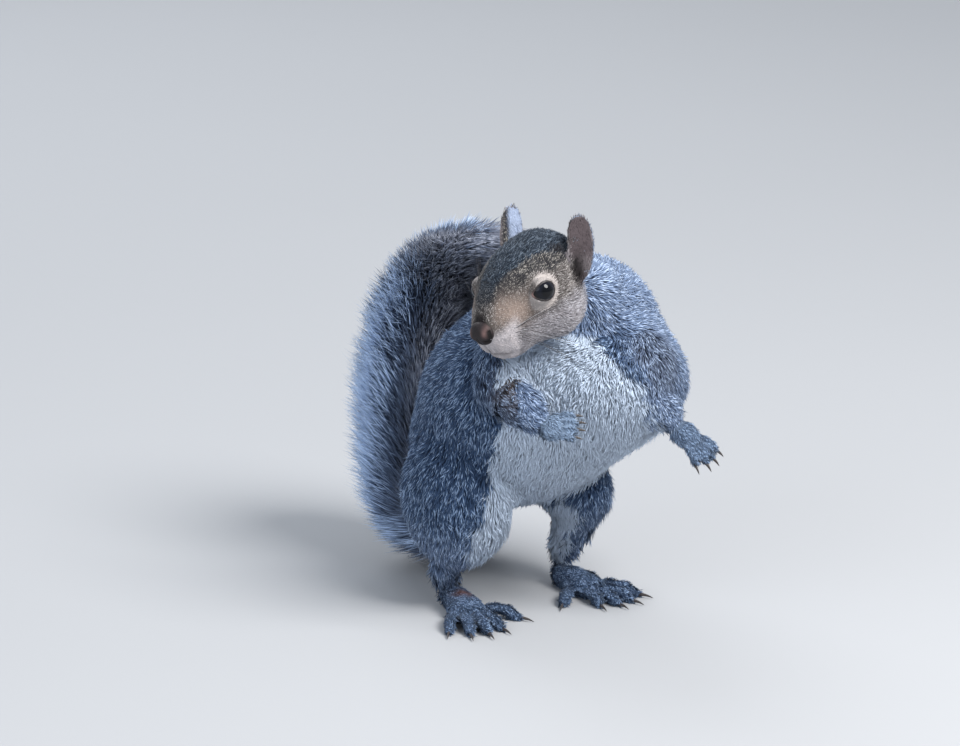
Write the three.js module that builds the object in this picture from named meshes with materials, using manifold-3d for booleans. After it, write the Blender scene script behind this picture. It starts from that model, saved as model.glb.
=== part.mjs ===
// A grey squirrel in winter coat, life size, propped on its hind feet with its
// left forepaw reaching out and its right forepaw held to the chest.
// Each solid runs out to the tips of the coat. Millimetres, +Z up, the chest
// and face toward -Y, floor at Z = 0.

import * as THREE from 'three';
import { mergeVertices } from 'three/addons/utils/BufferGeometryUtils.js';
import Module from 'manifold-3d';

const wasm = await Module();
wasm.setup();

// Driving dimensions.
const gap = 0.3; // clearance between neighbouring solids
const blend = 9; // how softly the forms of one part run together
const trunkHeading = THREE.MathUtils.degToRad(-50); // where the hips face, from +X
const headHeading = THREE.MathUtils.degToRad(-132);
const headDip = THREE.MathUtils.degToRad(20); // nose below the level
const headRoll = THREE.MathUtils.degToRad(10); // crown toward its right
const noseTip = new THREE.Vector3(0, -75, 138);
const eyeRadius = 5.4;
const eyeBack = 25.2; // behind the nose tip
const eyeOut = 17.3; // from the middle plane of the head
const eyeUp = 5.8; // above the nose tip
const earHeights = { left: 31.5, right: 35.5 };
const earLeans = { left: 0, right: 0.07 }; // outward
const earTurns = { left: 1.2, right: 1.75 }; // of the hollow side, out from the face
const earWidth = 14.5;
const earThickness = 2;
const clawLength = 7;
const clawRadius = 0.95;
const toeReaches = [0.7, 0.93, 1, 0.98, 0.87]; // of the foot, from the inner toe out
const toeSides = [-1.3, -0.5, 0, 0.5, 1]; // how far each toe stands off the middle one
const toeSpread = 16; // from the middle toe to the outer one

const point = (x, y, z) => new THREE.Vector3(x, y, z);

// Colours of the coat and the bare parts.
const colours = {
  grey: 0x7f8894,
  brownGrey: 0x6f6a66,
  pale: 0xc9ced4,
  tan: 0xa89684,
  tailGrey: 0x78766f,
  dark: 0x2b2622,
  eye: 0x0b0a0c,
  nose: 0x4a3a36,
};

// --- Solids -----------------------------------------------------------------

// A closed three.js geometry as a manifold solid.
function solidOf(geometry) {
  const bare = geometry.clone();
  bare.deleteAttribute('normal');
  bare.deleteAttribute('uv');
  const merged = mergeVertices(bare, 1e-4);
  const corners = merged.index.array;
  const faces = [];
  for (let i = 0; i < corners.length; i += 3) {
    const [a, b, c] = [corners[i], corners[i + 1], corners[i + 2]];
    if (a !== b && b !== c && c !== a) faces.push(a, b, c);
  }
  const mesh = new wasm.Mesh({
    numProp: 3,
    vertProperties: new Float32Array(merged.attributes.position.array),
    triVerts: new Uint32Array(faces),
  });
  return new wasm.Manifold(mesh);
}

// A manifold solid as a three.js geometry.
function geometryOf(solid) {
  const mesh = solid.getMesh();
  const geometry = new THREE.BufferGeometry();
  geometry.setAttribute('position', new THREE.BufferAttribute(mesh.vertProperties, 3));
  geometry.setIndex(new THREE.BufferAttribute(mesh.triVerts, 1));
  geometry.computeVertexNormals();
  return geometry;
}

// The biggest separate piece of a solid, so that a cut leaves no crumbs.
function mainPiece(solid) {
  const pieces = solid.decompose();
  return pieces.reduce((best, piece) => (piece.volume() > best.volume() ? piece : best));
}

function join(solids) {
  return solids.reduce((sum, next) => sum.add(next));
}

function cut(solid, cutters) {
  return mainPiece(cutters.reduce((left, cutter) => left.subtract(cutter), solid));
}

// --- Smooth forms -----------------------------------------------------------

// One ellipsoid of a soft form: its centre, its half sizes along its own
// forward, left and up, and the frame that they lie in.
function mass(frame, [forward, left, up], [length, width, height], tilt = 0) {
  const centre = point(forward, left, up).applyMatrix4(frame);
  const turn = new THREE.Matrix4().extractRotation(frame);
  turn.multiply(new THREE.Matrix4().makeRotationY(-tilt));
  return { centre, unturn: turn.clone().invert(), half: point(length, width, height) };
}

// How far a place lies outside an ellipsoid, roughly, and negative inside it.
function outside(place, { centre, unturn, half }) {
  const local = place.clone().sub(centre).applyMatrix4(unturn);
  const scaled = local.clone().divide(half);
  const steep = scaled.clone().divide(half).length();
  const ratio = scaled.length();
  return steep < 1e-9 ? -Math.min(half.x, half.y, half.z) : (ratio * (ratio - 1)) / steep;
}

// The same for all the masses of a form, run together softly.
function outsideForm(place, masses) {
  let nearest = 1e6;
  for (const one of masses) {
    const next = outside(place, one);
    const mix = Math.max(blend - Math.abs(nearest - next), 0) / blend;
    nearest = Math.min(nearest, next) - (mix * mix * blend) / 4;
  }
  return nearest;
}

// A closed skin drawn tight over a form, seen from its centre, with a number
// of rows of faces on each side of the ball that it starts from.
function wrap(masses, centre, rows, grow = 0) {
  const reach = 140;
  const step = 1.5;
  const ball = new THREE.IcosahedronGeometry(1, rows);
  const places = ball.attributes.position;
  const way = point(0, 0, 0);
  const place = point(0, 0, 0);
  const level = (far) => outsideForm(place.copy(centre).addScaledVector(way, far), masses) - grow;
  for (let i = 0; i < places.count; i += 1) {
    way.fromBufferAttribute(places, i).normalize();
    let far = reach;
    while (far > step && level(far) > 0) far -= step;
    let near = far;
    far += step;
    for (let halving = 0; halving < 14; halving += 1) {
      const middle = (near + far) / 2;
      if (level(middle) > 0) far = middle;
      else near = middle;
    }
    place.copy(centre).addScaledVector(way, near);
    places.setXYZ(i, place.x, place.y, place.z);
  }
  return solidOf(ball);
}

// A limb swept along a smooth route, or the stretch of it between two shares of
// its length. profile(t) gives half its width, along `across`, and half its
// thickness. Its ends are round, or flat if asked.
function sweep(stops, profile, { across, rows, sides, grow = 0, flat = false, from = 0, to = 1 }) {
  const route = new THREE.CatmullRomCurve3(stops, false, 'centripetal');
  const outline = [new THREE.Vector2(0, 0)];
  for (let row = 0; row <= rows; row += 1) {
    const eased = (1 - Math.cos((Math.PI * row) / rows)) / 2;
    const rim = Math.sqrt(1 - (2 * eased - 1) ** 6);
    if (flat) outline.push(new THREE.Vector2(1, row / rows));
    else if (row > 0 && row < rows) outline.push(new THREE.Vector2(rim, eased));
  }
  outline.push(new THREE.Vector2(0, 1));
  const tube = new THREE.LatheGeometry(outline, sides);
  const places = tube.attributes.position;
  for (let i = 0; i < places.count; i += 1) {
    const t = from + (to - from) * places.getY(i);
    const along = route.getTangentAt(t);
    const side = across.clone().addScaledVector(along, -across.dot(along)).normalize();
    const up = along.clone().cross(side);
    const [width, thickness] = profile(t);
    const place = route.getPointAt(t);
    const ends = flat ? 0 : grow * (2 * places.getY(i) - 1);
    place.addScaledVector(side, places.getX(i) * (width + grow));
    place.addScaledVector(up, -places.getZ(i) * (thickness + grow));
    place.addScaledVector(along, ends);
    places.setXYZ(i, place.x, place.y, place.z);
  }
  return solidOf(tube);
}

// A value that runs smoothly through evenly spaced stops.
function through(...stops) {
  const ramp = new THREE.SplineCurve(stops.map((value, i) => new THREE.Vector2(i, value)));
  return (t) => ramp.getPoint(t).y;
}

// Profile from two lists of evenly spaced half sizes, width and thickness.
function tapered(widths, thicknesses) {
  const width = through(...widths);
  const thickness = through(...thicknesses);
  return (t) => [width(t), thickness(t)];
}

// A frame at a place, facing a heading in the level plane, dipped and rolled.
function frameAt(place, heading, dip = 0, roll = 0) {
  const frame = new THREE.Matrix4().makeTranslation(place);
  frame.multiply(new THREE.Matrix4().makeRotationZ(heading));
  frame.multiply(new THREE.Matrix4().makeRotationY(dip));
  return frame.multiply(new THREE.Matrix4().makeRotationX(roll));
}

// --- Nodes ------------------------------------------------------------------

const squirrel = new THREE.Group();

function add(name, solid, colour, roughness = 0.95) {
  const material = new THREE.MeshStandardMaterial({ color: colour, roughness, metalness: 0 });
  const mesh = new THREE.Mesh(geometryOf(solid), material);
  mesh.name = name;
  squirrel.add(mesh);
}

// --- Trunk, neck and haunches -------------------------------------------------

const trunkFrame = frameAt(point(22, -2, 0), trunkHeading);
const trunkMasses = [
  mass(trunkFrame, [-24, 2, 66], [39, 43, 33], 0.3), // rump
  mass(trunkFrame, [-1, 4, 91], [58, 53, 46], 0.6), // belly and flanks
  mass(trunkFrame, [30, 14, 99], [37, 43, 32], 0.3), // chest
  mass(trunkFrame, [8, 18, 120], [38, 39, 34], 0.2), // shoulders and upper back
];
const trunkCentre = point(26, -6, 88);
const trunkRows = 6;
const trunk = wrap(trunkMasses, trunkCentre, trunkRows);
const trunkCutter = wrap(trunkMasses, trunkCentre, trunkRows, gap);

// --- Head -------------------------------------------------------------------

// In the head's own frame the nose tip is the origin and the face looks along +X.
const headFrame = frameAt(noseTip, headHeading, headDip, headRoll);
const headMasses = [
  mass(headFrame, [-41, 0, 6.5], [20.5, 19.5, 17.6]), // cranium
  mass(headFrame, [-36, 9, -8.5], [17, 11.5, 14]), // left cheek
  mass(headFrame, [-36, -9, -8.5], [17, 11.5, 14]), // right cheek
  mass(headFrame, [-30, 9, 8], [12, 9, 8]), // left brow
  mass(headFrame, [-30, -9, 8], [12, 9, 8]), // right brow
  mass(headFrame, [-22, 0, 6], [17, 13, 12.5], -0.35), // bridge of the nose
  mass(headFrame, [-10.5, 0, -3], [12.3, 10.8, 9.5]), // muzzle
  mass(headFrame, [-15.5, 0, -12], [12.5, 9, 8], 0.1), // chin
];
const headCentre = point(-36, 0, 3).applyMatrix4(headFrame);
const headRows = 7;
const inHead = (forward, left, up) => point(forward, left, up).applyMatrix4(headFrame);

const sideSigns = { left: 1, right: -1 };

function eyeBall(side, grow = 0) {
  const ball = new THREE.SphereGeometry(eyeRadius + grow, 10, 7);
  ball.applyMatrix4(frameAt(inHead(-eyeBack, side * eyeOut, eyeUp), 0));
  return solidOf(ball);
}

// A cupped leaf that stands on the back of the head: a flattened ball whose
// front is hollowed, narrow at its foot and full up to a broad round tip.
function ear(name) {
  const side = sideSigns[name];
  const leaf = new THREE.SphereGeometry(1, 10, 10);
  leaf.rotateX(Math.PI / 2);
  const places = leaf.attributes.position;
  for (let i = 0; i < places.count; i += 1) {
    const height = (places.getZ(i) + 1) / 2;
    const [x, y] = [places.getX(i), places.getY(i)];
    const foot = (1 - (1 - height) ** 3) ** 0.8;
    const fullness = foot * Math.max(1 - height ** 6, 0) ** 0.5;
    const outline = (x / Math.max(Math.hypot(x, y), 0.01)) * fullness;
    const across = outline * (earWidth / 2);
    const hollow = 3.6 * (x ** 2) * (1 - height * 0.6);
    const depth = y * (earThickness / 2) * (1 + 0.9 * (1 - height));
    places.setXYZ(i, across, depth - hollow, height * earHeights[name]);
  }
  // The leaf's hollow side turns outward and forward from the head.
  leaf.rotateZ(Math.PI / 2 + side * earTurns[name]);
  leaf.rotateY(-0.15);
  leaf.rotateX(-side * earLeans[name]);
  leaf.applyMatrix4(frameAt(inHead(-44, side * 18.8, -4.5), headHeading, 0, headRoll));
  return solidOf(leaf);
}

function nosePad(grow = 0) {
  const pad = new THREE.SphereGeometry(1, 10, 6);
  pad.scale(2.9 + grow, 4.2 + grow, 3.1 + grow);
  pad.applyMatrix4(new THREE.Matrix4().makeTranslation(0, 0, -2.1).premultiply(headFrame));
  return solidOf(pad);
}

const headHoles = [nosePad(gap)];
for (const side of Object.values(sideSigns)) headHoles.push(eyeBall(side, gap));
const head = cut(wrap(headMasses, headCentre, headRows), headHoles);
const headCutter = wrap(headMasses, headCentre, headRows, gap);

add('trunk', cut(trunk, [headCutter]), colours.grey);
add('head', head, colours.brownGrey);
add('nose', nosePad(), colours.nose, 0.6);
for (const [name, side] of Object.entries(sideSigns)) {
  add(`eye_${name}`, eyeBall(side), colours.eye, 0.05);
  add(`ear_${name}`, cut(ear(name), [headCutter]), colours.tan);
}

const neckMasses = [
  mass(trunkFrame, [24, 5, 133], [23, 22, 20]),
  mass(trunkFrame, [26, 3, 144], [18, 18, 14]),
];
const neckCentre = point(38, -20, 136);
const neck = wrap(neckMasses, neckCentre, 3);
const neckCutter = wrap(neckMasses, neckCentre, 3, gap);
add('neck', cut(neck, [trunkCutter, headCutter]), colours.grey);

// --- Legs -------------------------------------------------------------------

// For each side of the animal: where the joints, heels and fingertips are, the half
// sizes of the haunch about the thigh and the knee, which way the back of the hand
// looks, and how far its outer fingers spread.
const stance = {
  left: {
    hip: point(32, 26, 54),
    knee: point(45, 15, 42),
    ankle: point(36, 18, 13),
    heel: point(33, 17, 5.4),
    toes: point(61, -21, 3.4),
    thighSize: [21, 17, 22],
    kneeSize: [16, 14, 18],
    shoulder: point(70, -27, 112),
    elbow: point(70, -36, 102),
    wrist: point(84, -41, 87),
    fingers: point(98, -49, 76),
    handBack: point(0.5, -0.6, 0.6),
    fingerSpread: 7.5,
  },
  right: {
    hip: point(-9, -11, 56),
    knee: point(-10, -23, 44),
    ankle: point(-15, -18, 14),
    heel: point(-15, -12, 5.4),
    toes: point(4, -63, 3.4),
    thighSize: [29, 25, 33],
    kneeSize: [19, 17, 24],
    shoulder: point(12, -38, 118),
    elbow: point(7, -50, 108),
    wrist: point(27, -70, 95),
    fingers: point(40, -73, 97),
    handBack: point(0.1, -0.75, 0.65),
    fingerSpread: 5,
  },
};

const floor = new THREE.BoxGeometry(400, 400, 40);
floor.translate(0, 0, -20);
const underground = solidOf(floor);

// A curved claw that starts inside the tip of a toe and arches over its back.
function claw(tip, along, back, length) {
  const start = tip.clone().addScaledVector(along, -1.5);
  const middle = tip.clone().addScaledVector(along, length * 0.45).addScaledVector(back, 0.9);
  const end = tip.clone().addScaledVector(along, length * 0.9).addScaledVector(back, 0.1);
  const thick = (t) => clawRadius * Math.max(1 - t, 0.12) ** 0.6;
  const across = along.clone().cross(back).normalize();
  return sweep([start, middle, end], (t) => [thick(t) * 0.7, thick(t)], { across, rows: 3, sides: 4 });
}

// A foot or a hand: its pad, the toes that fan out of it, and their claws.
// Each toe has a root and tip, and bends upward in the middle.
function paw(name, pad, toes, { toeRadius, arch, clawSize, back }) {
  const solids = [pad(0)];
  const grown = [pad(gap)];
  const claws = [];
  for (const { root, tip } of toes) {
    const knuckle = root.clone().lerp(tip, 0.55).addScaledVector(back, arch);
    const along = tip.clone().sub(root).normalize();
    const across = along.clone().cross(back).normalize();
    const girth = [1, 0.92, 1, 0.9].map((share) => share * toeRadius);
    const profile = tapered(girth, girth);
    const stops = [root, knuckle, tip];
    solids.push(sweep(stops, profile, { across, rows: 5, sides: 5 }));
    grown.push(sweep(stops, profile, { across, rows: 5, sides: 5, grow: gap }));
    claws.push(claw(tip, along, back, clawSize));
  }
  const whole = mainPiece(join(solids).subtract(underground));
  add(name, whole, colours.pale);
  const grownWhole = join(grown);
  claws.forEach((one, i) => {
    const kept = one.subtract(grownWhole).subtract(underground);
    add(`${name}_claw_${i + 1}`, mainPiece(kept), colours.dark, 0.4);
  });
  return grownWhole;
}

function hindLeg(name) {
  const to = stance[name];
  const side = sideSigns[name];
  const middle = to.hip.clone().lerp(to.knee, 0.5);
  const thighMasses = [
    mass(frameAt(middle, trunkHeading), [0, 0, 0], to.thighSize, 0.2),
    mass(frameAt(to.knee, trunkHeading), [0, 0, 0], to.kneeSize),
  ];
  const thigh = wrap(thighMasses, middle, 4);
  const thighCutter = wrap(thighMasses, middle, 4, gap);
  add(`thigh_${name}`, cut(thigh, [trunkCutter, underground]), colours.grey);

  // The sole and its five toes, the middle ones longest.
  const ahead = to.toes.clone().sub(to.heel).setZ(0).normalize();
  const outward = point(0, 0, 1).cross(ahead).multiplyScalar(side);
  const alongFoot = (share) => to.heel.clone().lerp(to.toes, share);
  const sole = (grow) => sweep(
    [to.heel, alongFoot(0.3), alongFoot(0.68)],
    tapered([5.5, 6.5, 8.5, 8.5], [6, 5.5, 5, 4.2]),
    { across: outward, rows: 5, sides: 8, grow },
  );
  const toes = [];
  toeReaches.forEach((reach, i) => {
    const spread = toeSides[i];
    const root = alongFoot(0.51 - 0.06 * Math.abs(spread));
    root.addScaledVector(outward, spread * 6).setZ(2.2);
    const tip = alongFoot(reach).addScaledVector(outward, spread * toeSpread).setZ(0.8);
    toes.push({ root, tip });
  });
  const build = { toeRadius: 2.9, arch: 3, clawSize: clawLength, back: point(0, 0, 1) };
  const footCutter = paw(`foot_${name}`, sole, toes, build);

  const shank = (grow) => sweep(
    [to.knee, to.knee.clone().lerp(to.ankle, 0.5), to.ankle, to.heel.clone().setZ(8)],
    tapered([15, 13, 9, 6], [15, 12, 9, 6]),
    { across: outward, rows: 5, sides: 8, grow },
  );
  add(`shank_${name}`, cut(shank(0), [trunkCutter, thighCutter, footCutter]), colours.grey);
}

function foreLeg(name) {
  const to = stance[name];
  const back = to.handBack.clone().normalize();
  const ahead = to.fingers.clone().sub(to.wrist).normalize();
  const outward = ahead.clone().cross(back).normalize();
  const middle = to.shoulder.clone().lerp(to.elbow, 0.5);
  const upperMasses = [
    mass(frameAt(to.shoulder, 0), [0, 0, 0], [15, 15, 18]),
    mass(frameAt(to.elbow, 0), [0, 0, 0], [12, 11, 12]),
  ];
  const upper = wrap(upperMasses, middle, 3);
  const upperCutter = wrap(upperMasses, middle, 3, gap);
  add(`upper_arm_${name}`, cut(upper, [trunkCutter, headCutter, neckCutter]), colours.grey);

  const alongHand = (share) => to.wrist.clone().lerp(to.fingers, share);
  const palm = (grow) => sweep(
    [alongHand(-0.15), alongHand(0.35), alongHand(0.62)],
    tapered([5.8, 6.5, 6.2], [5, 4.8, 4]),
    { across: outward, rows: 5, sides: 8, grow },
  );
  const fingers = [];
  for (let i = 0; i < 4; i += 1) {
    const spread = (i - 1.5) / 1.5;
    const root = alongHand(0.42).addScaledVector(outward, spread * 4.4);
    const tip = alongHand(1.12 - 0.16 * Math.abs(spread));
    tip.addScaledVector(outward, spread * to.fingerSpread).addScaledVector(back, -2.5);
    fingers.push({ root, tip });
  }
  const build = { toeRadius: 2.3, arch: 1.8, clawSize: clawLength * 0.7, back };
  const pawCutter = paw(`paw_${name}`, palm, fingers, build);

  const forearm = (grow) => sweep(
    [to.elbow, to.elbow.clone().lerp(to.wrist, 0.5), to.wrist],
    tapered([12, 10.5, 6.8], [12, 10, 6.4]),
    { across: outward, rows: 6, sides: 9, grow },
  );
  add(`forearm_${name}`, cut(forearm(0), [trunkCutter, upperCutter, pawCutter]), colours.grey);
}

for (const name of Object.keys(sideSigns)) {
  hindLeg(name);
  foreLeg(name);
}

// --- Tail -------------------------------------------------------------------

// From the rump it bends round low on the floor, then climbs and curls forward.
const tailBend = 23.5;
const tailBack = point(-0.64, 0.77, 0);
const bendCentre = point(-13, 43, 42);
const tailRoute = [point(8, 17, 40)];
for (let turn = -130; turn <= 5; turn += 27) {
  const angle = THREE.MathUtils.degToRad(turn);
  const stop = bendCentre.clone().addScaledVector(tailBack, tailBend * Math.cos(angle));
  tailRoute.push(stop.setZ(bendCentre.z + tailBend * Math.sin(angle)));
}
tailRoute.push(point(-28, 61, 66), point(-27, 61, 90), point(-23, 57, 114));
tailRoute.push(point(-14, 48, 134), point(-1, 36, 146), point(14, 23, 151));
const tailAcross = point(-0.77, -0.64, 0);
const tailWidths = [14, 26, 34, 36, 36, 36, 36, 34, 28, 11];
const tailThicknesses = [12, 18, 19.5, 21, 22, 22, 22, 21, 17, 6];
const tailProfile = tapered(tailWidths, tailThicknesses);
const tailLengths = 4;
const tailGap = 0.002; // of the whole tail, between one length and the next

// The tail between two shares of its length.
function tailLength(from, to) {
  return sweep(tailRoute, tailProfile, { across: tailAcross, rows: 5, sides: 14, flat: true, from, to });
}

for (let i = 0; i < tailLengths; i += 1) {
  const length = tailLength(i / tailLengths, (i + 1) / tailLengths - tailGap);
  add(`tail_${i + 1}`, cut(length, [trunkCutter, underground]), colours.tailGrey);
}

// The origin is the middle of the foot of the whole animal's box.
const box = new THREE.Box3().setFromObject(squirrel);
const boxMiddle = box.getCenter(point(0, 0, 0));
squirrel.position.set(-boxMiddle.x, -boxMiddle.y, -box.min.z);

export default squirrel;
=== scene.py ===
import math

import bpy
import numpy as np
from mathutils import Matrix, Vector
from mathutils.bvhtree import BVHTree


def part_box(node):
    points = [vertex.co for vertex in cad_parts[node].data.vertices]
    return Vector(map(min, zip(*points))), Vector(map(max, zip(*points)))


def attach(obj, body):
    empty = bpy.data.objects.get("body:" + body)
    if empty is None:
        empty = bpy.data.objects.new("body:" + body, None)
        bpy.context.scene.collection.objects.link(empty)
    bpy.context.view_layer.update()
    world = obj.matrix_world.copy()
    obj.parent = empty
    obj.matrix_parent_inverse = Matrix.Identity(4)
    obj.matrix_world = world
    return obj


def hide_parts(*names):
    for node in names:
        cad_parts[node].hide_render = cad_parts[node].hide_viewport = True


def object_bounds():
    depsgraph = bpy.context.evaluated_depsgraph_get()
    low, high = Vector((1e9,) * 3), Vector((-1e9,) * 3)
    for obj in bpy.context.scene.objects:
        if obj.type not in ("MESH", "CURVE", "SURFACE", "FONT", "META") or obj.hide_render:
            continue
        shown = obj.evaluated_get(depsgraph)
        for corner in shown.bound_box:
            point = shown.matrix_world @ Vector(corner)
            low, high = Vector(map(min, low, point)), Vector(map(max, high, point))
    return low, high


# A grey squirrel in winter coat: one skin under the coat, then the coat itself
# as joined tufts, tail locks, eyes with lids, nose, claws and whiskers.

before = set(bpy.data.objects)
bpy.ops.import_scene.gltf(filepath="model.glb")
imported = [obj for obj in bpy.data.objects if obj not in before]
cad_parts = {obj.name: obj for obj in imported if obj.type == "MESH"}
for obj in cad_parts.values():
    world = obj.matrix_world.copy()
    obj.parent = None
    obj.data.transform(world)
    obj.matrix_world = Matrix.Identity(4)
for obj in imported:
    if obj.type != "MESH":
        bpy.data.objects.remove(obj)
cadBounds = [list(corner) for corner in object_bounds()]
mm = 0.001
draw = np.random.default_rng(41)
sideSigns = {"left": 1, "right": -1}


def norm(vectors):
    return np.linalg.norm(vectors, axis=-1)


def ringTurns(count):
    return np.linspace(0, 2 * math.pi, count, endpoint=False)


def unit(vectors):
    return vectors / np.maximum(np.linalg.norm(vectors, axis=-1, keepdims=True), 1e-12)


def ease(values, low, high):
    t = np.clip((values - low) / (high - low), 0, 1)
    return t * t * (3 - 2 * t)


def fade(values, low, high):
    return 1 - ease(values, low, high)


def bump(distance, radius):
    return np.exp(-(distance / radius) ** 2)


def boxOf(node):
    low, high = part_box(node)
    return np.array(low), np.array(high)


def middleOf(node):
    low, high = boxOf(node)
    return (low + high) / 2


def meshArrays(mesh):
    mesh.calc_loop_triangles()
    places = np.zeros(len(mesh.vertices) * 3)
    mesh.vertices.foreach_get("co", places)
    faces = np.zeros(len(mesh.loop_triangles) * 3, int)
    mesh.loop_triangles.foreach_get("vertices", faces)
    return places.reshape(-1, 3), faces.reshape(-1, 3)


def nodeArrays(node):  # corners that lie together become one
    places, faces = meshArrays(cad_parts[node].data)
    _, first, merged = np.unique(
        np.round(places / (0.002 * mm)), axis=0, return_index=True, return_inverse=True)
    faces = merged.ravel()[faces]
    a, b, c = faces.T
    return places[first], faces[(a != b) & (b != c) & (c != a)]


def faceCross(places, faces):
    a, b, c = (places[faces[:, i]] for i in range(3))
    return np.cross(b - a, c - a)


def cornerNormals(places, faces):
    cross = faceCross(places, faces)
    total = np.zeros_like(places)
    for i in range(3):
        for axis in range(3):
            total[:, axis] += np.bincount(faces[:, i], cross[:, axis], len(places))
    return unit(total)


def joinArrays(parts):
    places, faces, start = [], [], 0
    for somePlaces, someFaces in parts:
        places.append(somePlaces)
        faces.append(someFaces + start)
        start += len(somePlaces)
    return np.concatenate(places), np.concatenate(faces)


def makeMesh(name, places, faces, material=None, values=None, patches=None):
    mesh = bpy.data.meshes.new(name)
    mesh.vertices.add(len(places))
    mesh.vertices.foreach_set("co", np.ascontiguousarray(places, np.float32).ravel())
    mesh.loops.add(faces.size)
    mesh.loops.foreach_set("vertex_index", np.ascontiguousarray(faces, np.int32).ravel())
    mesh.polygons.add(len(faces))
    starts = np.arange(0, faces.size, faces.shape[1], dtype=np.int32)
    mesh.polygons.foreach_set("loop_start", starts)
    mesh.polygons.foreach_set("use_smooth", np.ones(len(faces), bool))
    mesh.update(calc_edges=True)
    for key, value in (values or {}).items():
        kind = ("FLOAT", "value") if value.ndim == 1 else ("FLOAT_VECTOR", "vector")
        attribute = mesh.attributes.new(key, kind[0], "POINT")
        attribute.data.foreach_set(kind[1], np.ascontiguousarray(value, np.float32).ravel())
    if patches is not None:
        layer = mesh.uv_layers.new(name="OFBake")
        layer.data.foreach_set("uv", patches[faces.ravel()].astype(np.float32).ravel())
    piece = bpy.data.objects.new(name, mesh)
    bpy.context.scene.collection.objects.link(piece)
    if material:
        mesh.materials.append(material)
    return piece


def setUp(piece, slot, *nodes):
    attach(piece, "root")
    if nodes:
        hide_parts(*nodes)
    return piece


def modified(piece, kind, **settings):  # the piece's arrays with one modifier applied
    modifier = piece.modifiers.new("made", kind)
    for key, value in settings.items():
        setattr(modifier, key, value)
    shaped = piece.evaluated_get(bpy.context.evaluated_depsgraph_get())
    arrays = meshArrays(shaped.to_mesh())
    shaped.to_mesh_clear()
    bpy.data.objects.remove(piece)
    return arrays


class Neighbours:  # each corner's neighbours along the edges of its faces
    def __init__(self, faces, count):
        ends = np.concatenate([faces[:, [0, 1]], faces[:, [1, 2]], faces[:, [2, 0]]])
        pairs = np.unique(ends.min(1) * count + ends.max(1))
        one, other = pairs // count, pairs % count
        self.here, self.there = np.concatenate([one, other]), np.concatenate([other, one])
        self.number = np.maximum(np.bincount(self.here, minlength=count), 1)
        self.count = count

    def average(self, values):
        if values.ndim == 1:
            return np.bincount(self.here, values[self.there], self.count) / self.number
        return np.stack([self.average(column) for column in values.T], 1)

    def smooth(self, values, times, share=0.6):
        for _ in range(times):
            values = values + share * (self.average(values) - values)
        return values


class Space:  # axes of its own from a middle, in millimetres
    def inside(self, places):
        return (places - self.middle) @ self.axes.T / mm

    def outside(self, local):
        return np.asarray(local, float) * mm @ self.axes + self.middle


# Every place on the face is worked out from the nose tip along forward, left and up.
headLook = {"eyesBack": 25.2, "eyesUp": 5.8, "noseUp": -2.1}  # mm from the nose tip


class HeadSpace(Space):
    def __init__(self):
        eyeLeft, eyeRight, nose = (middleOf(n) for n in ("eye_left", "eye_right", "nose"))
        self.left = unit(eyeLeft - eyeRight)
        sight = nose - (eyeLeft + eyeRight) / 2
        sight = unit(sight - self.left * (sight @ self.left))
        rise = np.cross(sight, self.left)
        tilt = math.atan2(headLook["eyesUp"] - headLook["noseUp"], headLook["eyesBack"])
        self.forward = sight * math.cos(tilt) + rise * math.sin(tilt)
        self.up = np.cross(self.forward, self.left)
        self.middle = nose - self.up * (headLook["noseUp"] * mm)
        self.axes = np.stack([self.forward, self.left, self.up])


head = HeadSpace()
facetedShare = 0.93  # of a round eye's height, that its solid with flat faces keeps
eyeRadius = (boxOf("eye_left")[1] - boxOf("eye_left")[0])[2] / 2 / mm / facetedShare


tailLook = {
    "step": 3.0,  # mm between stops of the centre line
    "mostShift": 4.0,
    "lengthGap": 1.6,
    "rootShare": (-0.174, 0.14, -0.437),  # of the trunk's box, from its middle
    "rootBend": (11, 24),  # how far the curve is drawn on from the tail, and down from the rump
    "rootThins": (0.5, 0.35),
    "coreAround": 14,
    "coreWidth": 5.2,
    "coreThickness": 4.4,
}


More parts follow.
